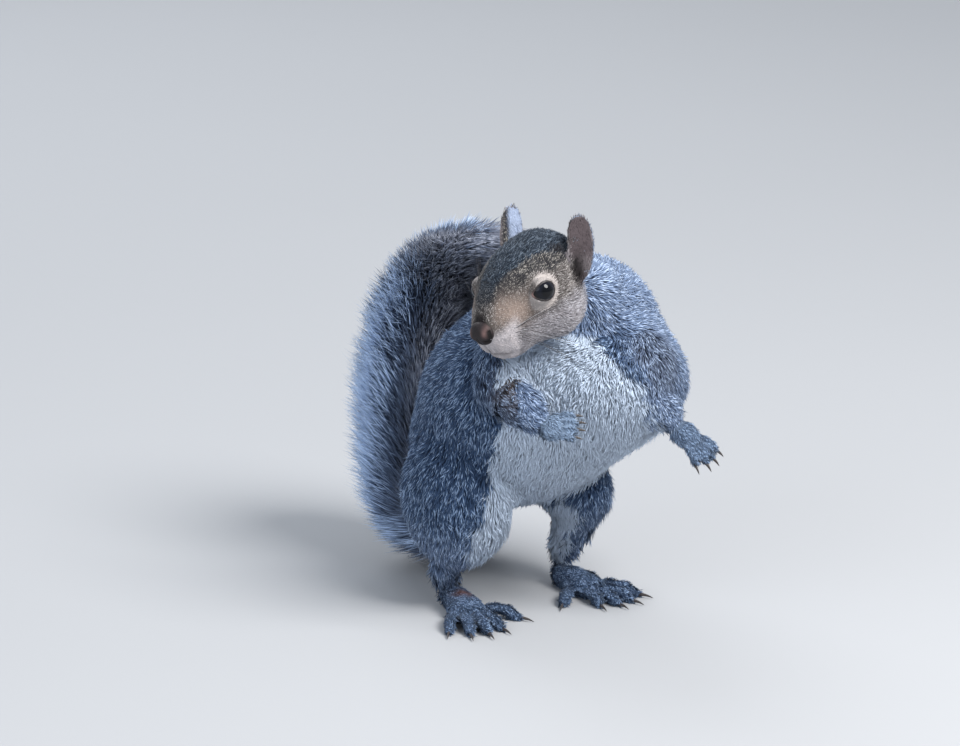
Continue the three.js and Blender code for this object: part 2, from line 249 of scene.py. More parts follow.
class TailLine:  # found by looking out sideways from inside the tail's solids
    def __init__(self):
        solids = [nodeArrays(f"tail_{i}") for i in range(1, 5)]
        rings, walls = [], []
        for i, (places, faces) in enumerate(solids):
            near = np.zeros(len(places), bool)
            for other in (i - 1, i + 1):
                if 0 <= other < len(solids):
                    gaps = norm(places[:, None] - solids[other][0][None])
                    touching = gaps.min(1) < tailLook["lengthGap"] * mm
                    near |= touching
                    rings.append(places[touching])
            walls.append((places, faces[~near[faces].all(1)]))  # without the cut ends
        places, faces = joinArrays(walls)
        self.tree = BVHTree.FromPolygons(places.tolist(), faces.tolist())
        low, high = rings[0], rings[2]
        self.across = unit(np.linalg.svd(low - low.mean(0))[2][0] * [1, 1, 0])
        start, along = (low.mean(0) + high.mean(0)) / 2, unit(high.mean(0) - low.mean(0))
        climb, fall = (self.march(start, along * sign) for sign in (1, -1))
        stops = self.rootStops(fall[-1], fall[-2]) + fall[:0:-1] + climb
        self.centre, self.width, self.thickness = (np.array(row) for row in zip(*stops))
        for _ in range(3):
            for row in (self.centre, self.width, self.thickness):
                row[1:-1] = (row[:-2] + 2 * row[1:-1] + row[2:]) / 4
        self.along = unit(np.gradient(self.centre, axis=0))
        self.above = unit(np.cross(self.along, self.across))

    def rootStops(self, last, before):  # on round the low bend and up into the rump
        low, high = boxOf("trunk")
        place, width, thickness = last
        ahead = unit(place - before[0])
        root = (low + high) / 2 + (high - low) * tailLook["rootShare"]
        (onward, down), (narrows, flattens) = tailLook["rootBend"], tailLook["rootThins"]
        handles = (place, place + ahead * onward * mm, root - [0, 0, down * mm], root)
        stops = []
        for t in np.linspace(1, 0, 16)[:-1]:
            weights = ((1 - t) ** 3, 3 * t * (1 - t) ** 2, 3 * t * t * (1 - t), t ** 3)
            spot = sum(weight * handle for weight, handle in zip(weights, handles))
            stops.append((spot, width * (1 - narrows * t), thickness * (1 - flattens * t)))
        return stops

    def reaches(self, place, along):
        above = np.cross(along, self.across)
        ways = (self.across, -self.across, above, -above)
        return above, [self.tree.ray_cast(Vector(place), Vector(way))[3] for way in ways]

    def march(self, place, along):
        stops = []
        while len(stops) < 80:
            above, found = self.reaches(place, along)
            if None in found:  # in the thin gap between two lengths
                place = place + along * 0.7 * mm
                above, found = self.reaches(place, along)
            if None in found:
                break
            right, left, over, under = found
            shift = self.across * (right - left) / 2 + above * (over - under) / 2
            if stops and np.linalg.norm(shift) > tailLook["mostShift"] * mm:
                break
            place = place + shift
            if stops:
                along = unit(along + unit(place - stops[-1][0]))
            stops.append((place, (right + left) / 2, (over + under) / 2))
            place = place + along * tailLook["step"] * mm
        return stops


tail = TailLine()
print("tail line:", len(tail.centre), "stops")


skinLook = {
    "voxel": 0.5,  # in mm, as the other lengths here
    "kept": 0.4,  # share of the faces that is kept, most of them where the form turns
    "swell": 0.45,  # closes the gaps between the solids
    "shrink": 0.3,  # of the eyes and the nose, which only fill their hollows
    "polish": {"paw": 0.22, "foot": 0.25, "ear": 0.3, "head": 0.8},  # the rest fully
    "polishTimes": 24,
    "meltTimes": 170,  # fills the creases between the big forms
    "blendTimes": 60,
    "headTimes": 30,
    "meltEdgeTimes": 25,
    "soleHeight": 1.2,
    "offFloor": 0.02,
}

# For each part: depth of the coat, length and width of a tuft, how steeply it stands in
# degrees, and tufts on a square mm.
coatLook = {
    "trunk": (3.1, 7.4, 0.53, 18, 2.8),
    "neck": (2.9, 7.2, 0.52, 18, 2.9),
    "head": (1.4, 4.6, 0.37, 12, 4.45),
    "ear": (0.3, 1.8, 0.28, 10, 4.0),
    "thigh": (3.1, 7.4, 0.53, 18, 2.9),
    "shank": (2.0, 6.4, 0.50, 17, 3.6),
    "foot": (0.4, 3.0, 0.40, 14, 4.9),
    "upper_arm": (2.8, 6.8, 0.52, 18, 3.0),
    "forearm": (1.7, 5.2, 0.48, 17, 4.0),
    "paw": (0.4, 2.8, 0.38, 14, 4.9),
    "tail": (0.0, 8.0, 0.60, 30, 0.0),
}

limbs = [f"{kind}_{side}" for side in sideSigns
         for kind in ("thigh", "shank", "foot", "upper_arm", "forearm", "paw")]
ears = ["ear_left", "ear_right"]
partNames = ["trunk", "head", "neck"] + ears + limbs + ["tail"]
fleshNodes = partNames[:-1] + [f"tail_{i}" for i in range(1, 5)]


def kindOf(part):
    return part.removesuffix("_left").removesuffix("_right")


partKinds = np.array([kindOf(name) for name in partNames])


def isPart(part, *wanted):  # named by kind, or in full where only one side is meant
    chosen = [name in wanted or kind in wanted for name, kind in zip(partNames, partKinds)]
    return np.array(chosen)[part]


def tailCore():
    turns = ringTurns(tailLook["coreAround"])
    count = len(tail.centre)
    taper = np.clip((count - 1 - np.arange(count)) / 14, 0.22, 1) ** 0.7
    wide = tail.across[None] * tailLook["coreWidth"] * mm * taper[:, None]
    high = tail.above * tailLook["coreThickness"] * mm * taper[:, None]
    rings = [tail.centre + wide * math.cos(turn) + high * math.sin(turn) for turn in turns]
    places = np.stack(rings, 1).reshape(-1, 3)
    around = len(turns)
    faces = []
    for row in range(count - 1):
        for i in range(around):
            a, b = row * around + i, row * around + (i + 1) % around
            faces += [(a, b, b + around), (a, b + around, a + around)]
    for row, flip in ((0, True), (count - 1, False)):
        for i in range(1, around - 1):
            face = (row * around, row * around + i, row * around + i + 1)
            faces.append(face[::-1] if flip else face)
    return places, np.array(faces)


def wholeFlesh():  # everything in one closed surface, with the sockets and nose filled
    parts = []
    for node in partNames[:-1] + ["eye_left", "eye_right", "nose"]:
        places, faces = nodeArrays(node)
        swell = skinLook["swell"] if node in partNames else -skinLook["shrink"]
        parts.append((places + cornerNormals(places, faces) * swell * mm, faces))
    parts.append(tailCore())
    rough = makeMesh("rough", *joinArrays(parts))
    return modified(rough, "REMESH", mode="VOXEL", voxel_size=skinLook["voxel"] * mm)


def partOfEach(places):
    owners, parts = [], []
    for i, part in enumerate(partNames):
        arrays = tailCore() if part == "tail" else nodeArrays(part)
        owners += [i] * len(arrays[1])
        parts.append(arrays)
    corners, faces = joinArrays(parts)
    tree = BVHTree.FromPolygons(corners.tolist(), faces.tolist())
    return np.array([owners[tree.find_nearest(place)[2]] for place in places.tolist()])


def bottomOf(node):
    low, high = boxOf(node)
    return np.array([(low[0] + high[0]) / 2, (low[1] + high[1]) / 2, low[2]])


def earWay(node):
    places, _ = nodeArrays(node)
    far = norm(places - middleOf("head"))
    return unit(places[far.argmax()] - places[far.argsort()[:12]].mean(0))


bodyHeading = math.radians(-62)  # the way that the belly faces, from +X
bodyForward = np.array([math.cos(bodyHeading), math.sin(bodyHeading), 0])
eyePlaces = {side: head.inside(middleOf(f"eye_{side}")) for side in sideSigns}


headCoatLook = {  # how it thins toward the muzzle, and parts round the eyes
    "depth": (0.45, 1.25),  # mm on the muzzle, and how much more on the crown
    "depthFrom": (-24, -8),  # where it changes, in mm forward of the nose tip
    "eyeDepth": (1.0, 9),  # mm less at an eye, and within what distance
    "leastDepth": 0.3,
    "length": (0.36, 0.64),  # the same, as shares of the full length
    "lengthFrom": (-30, -10),
    "eyeLength": (0.72, 10.5),
    "leastLength": 0.18,
    "fanned": 0.03,
    "eyeParting": (2.2, 8.5),
}


def lieOnHead(local):
    fanned, (strong, near) = headCoatLook["fanned"], headCoatLook["eyeParting"]
    lie = np.stack([np.full(len(local), -1.0), fanned * local[:, 1], fanned * local[:, 2]], 1)
    for place in eyePlaces.values():
        away = local - place
        lie += strong * bump(norm(away), near)[:, None] * unit(away)
    return lie @ head.axes


def lieOfCoat(part, places):  # the way that the hair of one part lies
    kind, side = kindOf(part), part.split("_")[-1]
    down = np.array([0, 0, -1.0])
    if kind == "head":
        return lieOnHead(head.inside(places))
    if kind == "ear":
        return np.tile(earWay(part), (len(places), 1))
    if kind == "trunk":
        back = ease(places[:, 2] / mm, 90, 150)[:, None]
        return down - bodyForward * (0.35 + 0.9 * back)
    if kind == "neck":
        return np.tile(unit(middleOf("trunk") - middleOf("head")) - bodyForward * 0.4,
                       (len(places), 1))
    if kind == "tail":
        near = norm(places[:, None] - tail.centre[None, ::3]).argmin(1) * 3
        return tail.along[near]
    ways = {
        "thigh": bottomOf(f"shank_{side}") - middleOf(f"thigh_{side}"),
        "shank": down,
        "foot": (middleOf(f"foot_{side}") - bottomOf(f"shank_{side}")) * [1, 1, 0],
        "upper_arm": middleOf(f"forearm_{side}") - middleOf(f"upper_arm_{side}") + 0.02 * down,
        "forearm": middleOf(f"paw_{side}") - middleOf(f"forearm_{side}"),
        "paw": middleOf(f"paw_{side}") - middleOf(f"forearm_{side}"),
    }
    return np.tile(unit(ways[kind]), (len(places), 1))


def headDepth(local):  # the coat thins to velvet on the muzzle and round the eyes
    (least, more), (less, near) = headCoatLook["depth"], headCoatLook["eyeDepth"]
    depth = least + more * fade(local[:, 0], *headCoatLook["depthFrom"])
    for place in eyePlaces.values():
        depth -= less * bump(norm(local - place), near)
    return np.maximum(depth, headCoatLook["leastDepth"])


def headLength(local):  # share of the full length of the crown's hair
    (least, more), (less, near) = headCoatLook["length"], headCoatLook["eyeLength"]
    share = least + more * fade(local[:, 0], *headCoatLook["lengthFrom"])
    for place in eyePlaces.values():
        share = share * (1 - less * bump(norm(local - place), near))
    return np.maximum(share, headCoatLook["leastLength"])


class Skin:
    def __init__(self):
        places, faces = wholeFlesh()
        places = self.polish(places, faces)
        thinned = makeMesh("thinned", places, faces)
        self.places, self.faces = modified(thinned, "DECIMATE", ratio=skinLook["kept"])
        self.around = Neighbours(self.faces, len(self.places))
        self.part = partOfEach(self.places)
        self.field = np.array([coatLook[kind] for kind in partKinds])[self.part]
        self.lie = np.zeros_like(self.places)
        for i, name in enumerate(partNames):
            mine = self.part == i
            self.lie[mine] = unit(lieOfCoat(name, self.places[mine]))
        self.field = self.around.smooth(self.field, skinLook["blendTimes"])
        self.lie = self.around.smooth(self.lie, skinLook["blendTimes"])
        local = head.inside(self.places)
        onHead = isPart(self.part, "head")
        nearHead = self.around.smooth(onHead * 1.0, skinLook["headTimes"]) * onHead
        share = headLength(local)[:, None]
        shorter = np.concatenate([headDepth(local)[:, None], self.field[:, 1:2] * share,
                                  self.field[:, 2:3] * (0.5 + 0.5 * share)], 1)
        self.field[:, :3] += nearHead[:, None] * (shorter - self.field[:, :3])
        self.sink()
        self.openEyes()
        self.hollowEars()
        self.cutMouth()
        self.normals = cornerNormals(self.places, self.faces)
        self.lie = unit(self.lie - self.normals * (self.lie * self.normals).sum(1)[:, None])

    def polish(self, places, faces):
        around = Neighbours(faces, len(places))
        part = partOfEach(places)
        polish = np.array([skinLook["polish"].get(kind, 1.0) for kind in partKinds])[part]
        melt = isPart(part, "trunk", "neck", "thigh", "upper_arm") * 1.0
        melt = around.smooth(melt, skinLook["meltEdgeTimes"]) ** 2
        for _ in range(skinLook["polishTimes"]):  # smooths without shrinking
            for share in (0.5, -0.53):
                step = around.average(places) - places
                places = places + step * (polish * share)[:, None]
        for _ in range(skinLook["meltTimes"]):
            places = places + (around.average(places) - places) * (melt * 0.7)[:, None]
        return places

    def sink(self):  # in by the depth of the coat, but with the soles on the floor
        normals = self.around.smooth(cornerNormals(self.places, self.faces), 4)
        depth = self.field[:, 0] + skinLook["swell"]
        height = self.places[:, 2] / mm
        onSole = (normals[:, 2] < -0.5) & (height < skinLook["soleHeight"])
        self.places = self.places - unit(normals) * (depth * mm)[:, None]
        lowest = skinLook["offFloor"] * mm
        self.places[onSole, 2] = lowest
        self.places[:, 2] = np.maximum(self.places[:, 2], lowest)

    def openEyes(self):
        for side in sideSigns:
            eye = EyeSpace(side)
            ball = eye.inside(self.places)
            far = norm(ball)
            angle, opening = eye.angles(ball)
            near = far < eyeLook["lidReach"]
            past = angle - opening
            lid = eyeRadius + eyeLook["lidThick"]
            level = np.maximum(far, lid)
            outer, inner = eyeLook["lidSlope"]
            level += (lid - level) * ease(past, outer, inner)
            level = np.where(past < inner, eyeRadius - eyeLook["hidden"], level)
            moved = near & (angle < eyeLook["lidWidest"])
            ball[moved] *= (level[moved] / far[moved])[:, None]
            self.places[moved] = eye.outside(ball[moved])

    def hollowEars(self):  # a deeper bowl with a sunk hole at its foot
        for side in sideSigns:
            ear = earSpaces[side]
            across, height, _ = ear.shares(self.places)
            mine = isPart(self.part, f"ear_{side}") & ear.opens(self.normalsNow())
            middle, half = earLook["bowlUp"]
            bowl = np.clip(1 - across ** 2 - ((height - middle) / half) ** 2, 0, 1)
            sunk = earLook["bowl"] * bowl + earLook["holeDepth"] * ear.hole(self.places)
            self.places -= ear.out * (sunk * mine * mm)[:, None]

    def normalsNow(self):
        return cornerNormals(self.places, self.faces)

    def cutMouth(self):
        gap = mouthGap(head.inside(self.places))
        cut = faceLook["mouthDepth"] * bump(gap, faceLook["mouthWidth"])
        self.places = self.places - self.normalsNow() * (cut * mm)[:, None]


earLook = {
    "bowl": 0.5,  # all in mm
    "bowlUp": (0.56, 0.42),  # its middle and half its height, as shares of the leaf
    "hole": (-46.4, 19.6, 3.4),  # of the left ear, in the head's own millimetres
    "holeSize": (2.7, 5.6),  # across and along
    "holeDepth": 1.6,
}


class EarSpace:  # an ear's own axes: across the leaf, up to its tip, and out of its bowl
    def __init__(self, side):
        sign = sideSigns[side]
        places, _ = nodeArrays(f"ear_{side}")
        self.centre = places.mean(0)
        axes = np.linalg.svd(places - self.centre, full_matrices=False)[2]
        self.tall = axes[0] * np.sign(axes[0] @ head.up)
        self.out = axes[2] * np.sign(axes[2] @ head.left * sign)
        self.across = np.cross(self.tall, self.out)
        self.across *= np.sign(self.across @ head.forward)  # toward the face
        reach = self.reach(places)
        self.low, self.high = reach.min(0), reach.max(0)
        self.holeAt = head.outside(np.array(earLook["hole"]) * [1, sign, 1])

    def reach(self, places):
        return (places - self.centre) @ np.stack([self.across, self.tall, self.out], 1)

    def shares(self, places):  # -1 to 1 across, 0 to 1 up the leaf, and mm out of it
        reach = self.reach(places)
        middle, half = (self.high[0] + self.low[0]) / 2, (self.high[0] - self.low[0]) / 2
        height = (reach[:, 1] - self.low[1]) / (self.high[1] - self.low[1])
        return (reach[:, 0] - middle) / half, height, reach[:, 2] / mm

    def opens(self, normals):
        return normals @ self.out > 0.15

    def hole(self, places):
        away = places - self.holeAt
        wide, long = earLook["holeSize"]
        return bump(np.hypot(away @ self.across / wide, away @ self.tall / long) / mm, 1.0)


earSpaces = {side: EarSpace(side) for side in sideSigns}


eyeLook = {
    "aim": (0.26, 1.0, 0.06),  # of the left eye, forward, left and up
    "cornerTilt": 8,  # of the front corner above the head's level, in degrees
    "opening": (0.92, 0.72),  # half the lids' opening, along and across, in radians
    "lidThick": 0.3,
    "lidReach": 16,  # mm from the middle of the ball
    "lidWidest": 1.9,  # radians from its axis
    "lidSlope": (0.36, 0.06),  # radians past the opening over which it rises onto the ball
    "hidden": 1.3,  # mm that the skin is sunk inside the ball
    "lidTones": ((0.010, 0.008, 0.009), (0.030, 0.023, 0.023)),
    "cornerTone": (0.24, 0.15, 0.135),
    "cornerReach": 0.34,
    "around": 64,  # corners round a lid
    "rim": [(-0.01, -0.25), (-0.01, 0.1), (0.03, 0.3), (0.08, 0.4), (0.15, 0.36), (0.26, 0.0)],
}


class EyeSpace(Space):  # an eye's own axes: out of the socket, toward the front corner, and up
    def __init__(self, side):
        sign = sideSigns[side]
        self.middle = middleOf(f"eye_{side}")
        aim = np.array(eyeLook["aim"]) * [1, sign, 1]
        self.out = unit(aim @ head.axes)
        tilt = math.radians(eyeLook["cornerTilt"])
        front = math.cos(tilt) * head.forward + math.sin(tilt) * head.up
        self.front = unit(front - self.out * (front @ self.out))
        self.rise = np.cross(self.front, self.out) * -sign
        self.axes = np.stack([self.out, self.front, self.rise])

    def openingAt(self, turn):  # an almond, drawn out at its front corner
        along, across = eyeLook["opening"]
        plain = along * across / np.hypot(across * np.cos(turn), along * np.sin(turn))
        return plain + eyeLook["cornerReach"] * bump(np.angle(np.exp(1j * turn)), 0.42)

    def angles(self, local):
        angle = np.arctan2(np.hypot(local[:, 1], local[:, 2]), local[:, 0])
        return angle, self.openingAt(np.arctan2(local[:, 2], local[:, 1]))

    def ring(self, past, radius, count):  # a loop round the opening
        turn = ringTurns(count)
        angle = self.openingAt(turn) + past
        local = np.stack([np.cos(angle), np.sin(angle) * np.cos(turn),
                          np.sin(angle) * np.sin(turn)], 1) * radius
        return self.outside(local)


def ringFaces(rows, count):
    faces = []
    for row in range(rows - 1):
        for i in range(count):
            a, b = row * count + i, row * count + (i + 1) % count
            faces += [(a, a + count, b + count), (a, b + count, b)]
    return faces


def closedTube(rings, ends):  # from rows of rings and the two points that close them
    rows, around = rings.shape[:2]
    places = np.concatenate([rings.reshape(-1, 3), ends])
    faces = ringFaces(rows, around)
    last = (rows - 1) * around
    for i in range(around):
        j = (i + 1) % around
        faces += [(len(places) - 2, i, j), (len(places) - 1, last + j, last + i)]
    return places, np.array(faces)


def roundTube(centre, radius, side, over, around):  # rings of a bent, tapered rod
    turn = ringTurns(around)[:, None]
    return centre[:, None] + radius[:, None, None] * (side * np.cos(turn) + over * np.sin(turn))


def outward(places, faces):  # with every face of a closed mesh turned out
    volume = (places[faces[:, 0]] * faceCross(places, faces)).sum()
    return faces if volume > 0 else faces[:, ::-1]


def eyelids():  # a thin dark rim that lies on each eye
    parts, corners = [], []
    around = eyeLook["around"]
    for side in sideSigns:
        eye = EyeSpace(side)
        rings = [eye.ring(past, eyeRadius + rise, around) for past, rise in eyeLook["rim"]]
        turn = ringTurns(around)
        corner = np.tile(bump(np.angle(np.exp(1j * turn)), 0.22), len(rings))
        faces = np.array(ringFaces(len(rings), around))
        places = np.concatenate(rings)
        out = cornerNormals(places, faces)
        middle = len(rings) // 2 * around
        if (out[middle] @ (places[middle] - eye.middle)) < 0:
            faces = faces[:, ::-1]
        parts.append((places, faces))
        corners.append(corner)
    return *joinArrays(parts), np.concatenate(corners)


faceLook = {
    "mouthDepth": 0.8,
    "mouthWidth": 0.6,
    "mouthBack": 10.5,
    "lipLow": -11.4,
    "lipFall": 0.42,  # mm down for each mm back
    "lipCurl": (1.2, 7, 11),  # mm up again, and how far back
    "cleft": (8.3, 3.0, 5),  # its middle below the nose tip, half its height and its depth
    "ringTilt": (0.89, 0.46),
    "ringMiddle": (-0.9, -1.3),  # of the pale ring, forward and up from the eye
    "ringHalf": (6.7, 8.0),
}


def mouthGap(local):  # distance to the line of the mouth and the cleft under the nose
    back = np.clip(-local[:, 0], 0, faceLook["mouthBack"])
    (curl, first, last), (below, half, deep) = faceLook["lipCurl"], faceLook["cleft"]
    lineUp = faceLook["lipLow"] - faceLook["lipFall"] * back + curl * ease(back, first, last)
    past = np.maximum(-local[:, 0] - faceLook["mouthBack"], 0)
    mouth = np.hypot(local[:, 2] - lineUp, past * 2)
    cleft = np.hypot(local[:, 1], np.maximum(np.abs(local[:, 2] + below) - half, 0))
    return np.minimum(mouth, np.where(local[:, 0] > -deep, cleft * 1.3, 99))


def ringShare(local, side):  # 1 at the outline of the pale ring round an eye
    ahead, _, up = (local - eyePlaces[side]).T
    ahead, up = ahead - faceLook["ringMiddle"][0], up - faceLook["ringMiddle"][1]
    (wide, tall), (level, tilted) = faceLook["ringHalf"], faceLook["ringTilt"]
    share = np.hypot((level * ahead + tilted * up) / wide, (level * up - tilted * ahead) / tall)
    return np.where(local[:, 1] * sideSigns[side] > 6, share, 9)


skin = Skin()
lidPlaces, lidFaces, lidCorner = eyelids()
print("skin:", len(skin.places), "corners")


class Wire:  # one socket, with sums written as plain expressions
    def __init__(self, finish, socket):
        self.finish, self.socket = finish, socket

    def maths(self, operation, other, flip=False):
        a, b = (other, self) if flip else (self, other)
        return self.finish.add("ShaderNodeMath", {"operation": operation}, {0: a, 1: b})

    def __add__(self, other):
        return self.maths("ADD", other)

    def __sub__(self, other):
        return self.maths("SUBTRACT", other)

    def __rsub__(self, other):
        return self.maths("SUBTRACT", other, True)

    def __mul__(self, other):
        return self.maths("MULTIPLY", other)

    __radd__ = __add__
    __rmul__ = __mul__

    def limited(self):
        return self.finish.add("ShaderNodeClamp", {}, {"Value": self})

    def between(self, low, high):  # 0 below low, 1 above high, smooth between
        settings = {"interpolation_type": "SMOOTHSTEP"}
        return self.finish.add("ShaderNodeMapRange", settings,
                               {"Value": self, "From Min": low, "From Max": high})


class Finish:  # a material and its nodes
    def __init__(self, name):
        self.material = bpy.data.materials.new(name)
        self.material.use_nodes = True
        self.tree = self.material.node_tree
        self.tree.nodes.clear()

    def add(self, kind, settings=None, sockets=None, out=0):
        node = self.tree.nodes.new(kind)
        for key, value in (settings or {}).items():
            if key == "stops":
                ramp = node.color_ramp.elements
                while len(ramp) < len(value):
                    ramp.new(0.5)
                for stop, (place, colour) in zip(ramp, value):
                    stop.position, stop.color = place, (*colour, 1)
            else:
                setattr(node, key, value)
        for key, value in (sockets or {}).items():
            if isinstance(value, Wire):
                self.tree.links.new(value.socket, node.inputs[key])
            elif isinstance(value, tuple) and node.inputs[key].type == "RGBA":
                node.inputs[key].default_value = (*value, 1)
            else:
                node.inputs[key].default_value = value
        return Wire(self, node.outputs[out]) if node.outputs else node

    def mix(self, share, low, high):
        return self.add("ShaderNodeMix", {"data_type": "RGBA"}, {0: share, 6: low, 7: high}, 2)

    def ramp(self, value, stops):
        return self.add("ShaderNodeValToRGB", {"stops": stops}, {0: value})

    def noise(self, place, scale, detail=2.0, rough=0.5):
        return self.add("ShaderNodeTexNoise", {}, {
            "Vector": place, "Scale": scale, "Detail": detail, "Roughness": rough})

    def number(self, name):
        return self.add("ShaderNodeAttribute", {"attribute_name": name}, {}, 2)

    def vector(self, name):
        return self.add("ShaderNodeAttribute", {"attribute_name": name}, {}, 1)

    def parts(self, name):
        split = self.add("ShaderNodeSeparateXYZ", {}, {0: self.vector(name)})
        return [Wire(self, output) for output in split.socket.node.outputs]

    def relief(self, height, strength, distance):
        return self.add("ShaderNodeBump", {}, {
            "Strength": strength, "Distance": distance, "Height": height})

    def scaled(self, colour, amount):
        return self.add("ShaderNodeVectorMath", {"operation": "SCALE"},
                        {0: colour, "Scale": amount})

    def shader(self, **sockets):
        named = {key.replace("_", " "): value for key, value in sockets.items()}
        surface = self.add("ShaderNodeBsdfPrincipled", {}, named)
        self.add("ShaderNodeOutputMaterial", {}, {"Surface": surface})
        return self.material


# The blue in these colours is a painted cast of cool shade light; the real coat is a plainer grey.
coatColours = {  # each hair's root, its length and the tip that some of them have
    "grey": ((0.017, 0.036, 0.080), (0.045, 0.085, 0.172), (0.300, 0.415, 0.610)),
    "frostAndLitSide": ((0.080, 0.115, 0.190), (0.212, 0.290, 0.450), (0.500, 0.605, 0.790)),
    "face": ((0.070, 0.060, 0.055), (0.175, 0.158, 0.152), (0.420, 0.400, 0.390)),
    "brow": ((0.026, 0.025, 0.029), (0.055, 0.053, 0.057), (0.330, 0.310, 0.280)),
    "crown": ((0.007, 0.012, 0.020), (0.018, 0.029, 0.048), (0.130, 0.165, 0.210)),
    "white": [(0.0, (0.48, 0.58, 0.72)), (0.4, (0.55, 0.66, 0.82)), (1.0, (0.62, 0.73, 0.89))],
    "tan": (0.370, 0.285, 0.240),
    "cream": (0.56, 0.51, 0.49),
    "muzzle": (0.52, 0.485, 0.50),
    # dark fur round the nose and on the lips, with painted shade in the mouth's crease, the fold
    # at each ear's front and the ear hole
    "dark": (0.012, 0.009, 0.010),
    "paw": (0.330, 0.440, 0.600),
    "earInside": (0.088, 0.070, 0.076),
    "earRim": (0.25, 0.225, 0.235),
    "earBack": (0.36, 0.43, 0.58),
    "brown": (0.095, 0.074, 0.062),
    "russet": (0.135, 0.052, 0.034),
}


def softNormal(finish, pull):  # turned toward the skin's own, so that tufts read as plush
    bare = finish.add("ShaderNodeNewGeometry", {}, {}, 1)
    skinward = finish.scaled(finish.vector("skinNormal"), pull)
    both = finish.add("ShaderNodeVectorMath", {"operation": "ADD"}, {0: bare, 1: skinward})
    return finish.add("ShaderNodeVectorMath", {"operation": "NORMALIZE"}, {0: both})


def coatFinish(name, onSkin=False):
    finish = Finish(name)
    place = finish.vector("rootPlace")
    along = finish.number("alongHair")
    shade = finish.number("tuftShade")
    pale, brown, russet = finish.parts("coatMarks")
    onHead, crown, tan = finish.parts("headMarks")
    cream, muzzle, dark = finish.parts("faceMarks")
    paw, earInside, earBack = finish.parts("limbMarks")
    brow, frostAndLitSide, earRim = finish.parts("toneMarks")
    broken = finish.noise(place, 330.0, 3.0, 0.6)
    mottle = finish.noise(place, 45.0, 3.0, 0.55)
    low, middle, tip = coatColours["grey"]
    # the frost share includes painted light on the side toward the key light
    for share, key in ((frostAndLitSide, "frostAndLitSide"), (onHead, "face"), (brow, "brow"), (crown, "crown")):
        low, middle, tip = (finish.mix(share, old, new)
                            for old, new in zip((low, middle, tip), coatColours[key]))
    banded = (along + (broken - 0.5) * 0.3).limited()
    tone = finish.mix(banded.between(0.25, 0.6), low, middle)
    tone = finish.mix(tan * 0.8, tone, coatColours["tan"])
    tone = finish.mix(brown * 0.9, tone, coatColours["brown"])
    tipped = shade.between(0.5, 0.7) * along.between(0.55, 0.78)
    tone = finish.mix(tipped * (0.85 - 0.5 * tan - 0.4 * brown), tone, tip)
    edge = (pale + (mottle - 0.5) * 0.4 + (broken - 0.5) * 0.4).between(0.35, 0.65)
    tone = finish.mix(edge, tone, finish.ramp(banded, coatColours["white"]))
    for share, key in ((muzzle, "muzzle"), (paw * 0.7, "paw"), (earInside, "earInside"),
                       (earRim, "earRim"), (earBack, "earBack"), (cream, "cream"),
                       (russet, "russet"), (dark, "dark")):
        tone = finish.mix(share, tone, coatColours[key])
    light = 0.6 + 0.52 * shade * (1 - 0.7 * pale) + 0.22 * pale + 0.34 * mottle
    if onSkin:
        light = light * 0.8
    sockets = {"Base_Color": finish.scaled(tone, light), "Roughness": 0.75,
               "Specular_IOR_Level": 0.18, "Sheen_Weight": 0.08, "Sheen_Roughness": 0.5}
    if onSkin:
        fine = finish.noise(place, 1500.0, 2.0, 0.6)
        sockets["Normal"] = finish.relief(fine, 0.5, 0.6 * mm)
    else:
        sockets["Normal"] = softNormal(finish, 0.65 + 2.6 * pale)
    return finish.shader(**sockets)


markLook = {  # each pair is where a marking fades in or out, in mm unless it is a slope
    "bibLeft": -21.0,  # right edge of the white front, from the middle of the trunk
    "bibSoft": 2.5,
    "bibWaist": (5, 28, 5),  # depths between which it widens, and by how much
    "bibFoot": (36, 68, 9),
    "bibFacing": (-0.25, 0.2),
    "bibBack": (8, 30),
    "bibTop": (31, 37),
    "bibSlant": (42, 60),
    "bellySlope": (0.3, 0.85),
    "bellyLeft": (-34, -22),
    "bellyBack": (6, 30),
    "legSlope": (0.3, 0.8),
    "armSlope": (0.5, 0.9),
    "chinDown": (12, 17),
    "chinDeep": (34, 42),
    "chinBack": (-30, -22),
    "chinWide": (12, 18),
    "throatDown": (17.0, 19.5),
    "throatBack": (8, 15),
    "elbow": (109, 12),  # height and size of the brown there
    "shoulder": (16, 0.42),  # its size and strength there
    "russet": (0.52, 4.0),  # share of the way along the foot, and size
    # where the painted light on the trunk's side toward the key light fades in
    "litTrunkSide": (40, 62),
    "hock": (45, 68),
    "nape": (44, 58),
    "crownBack": [3, 14, 23.6, 31, 40, 44],
    "crownHalf": [2.5, 5, 8.5, 11.6, 15.5, 17.5],
    "browBack": [0, 3.3, 7, 11, 19, 24, 28, 33.5, 40],
    "browLow": [5.5, 6.7, 9.1, 9.8, 10.3, 13.7, 13.3, 10.6, 10.8],
    "cheek": (1, 9),
    "tan": (-12, 7.0),  # its middle and size
    # middle of the painted shadow in the fold at the ear's front
    "earFoldShadow": (-43.5, 0, 15.5),
}


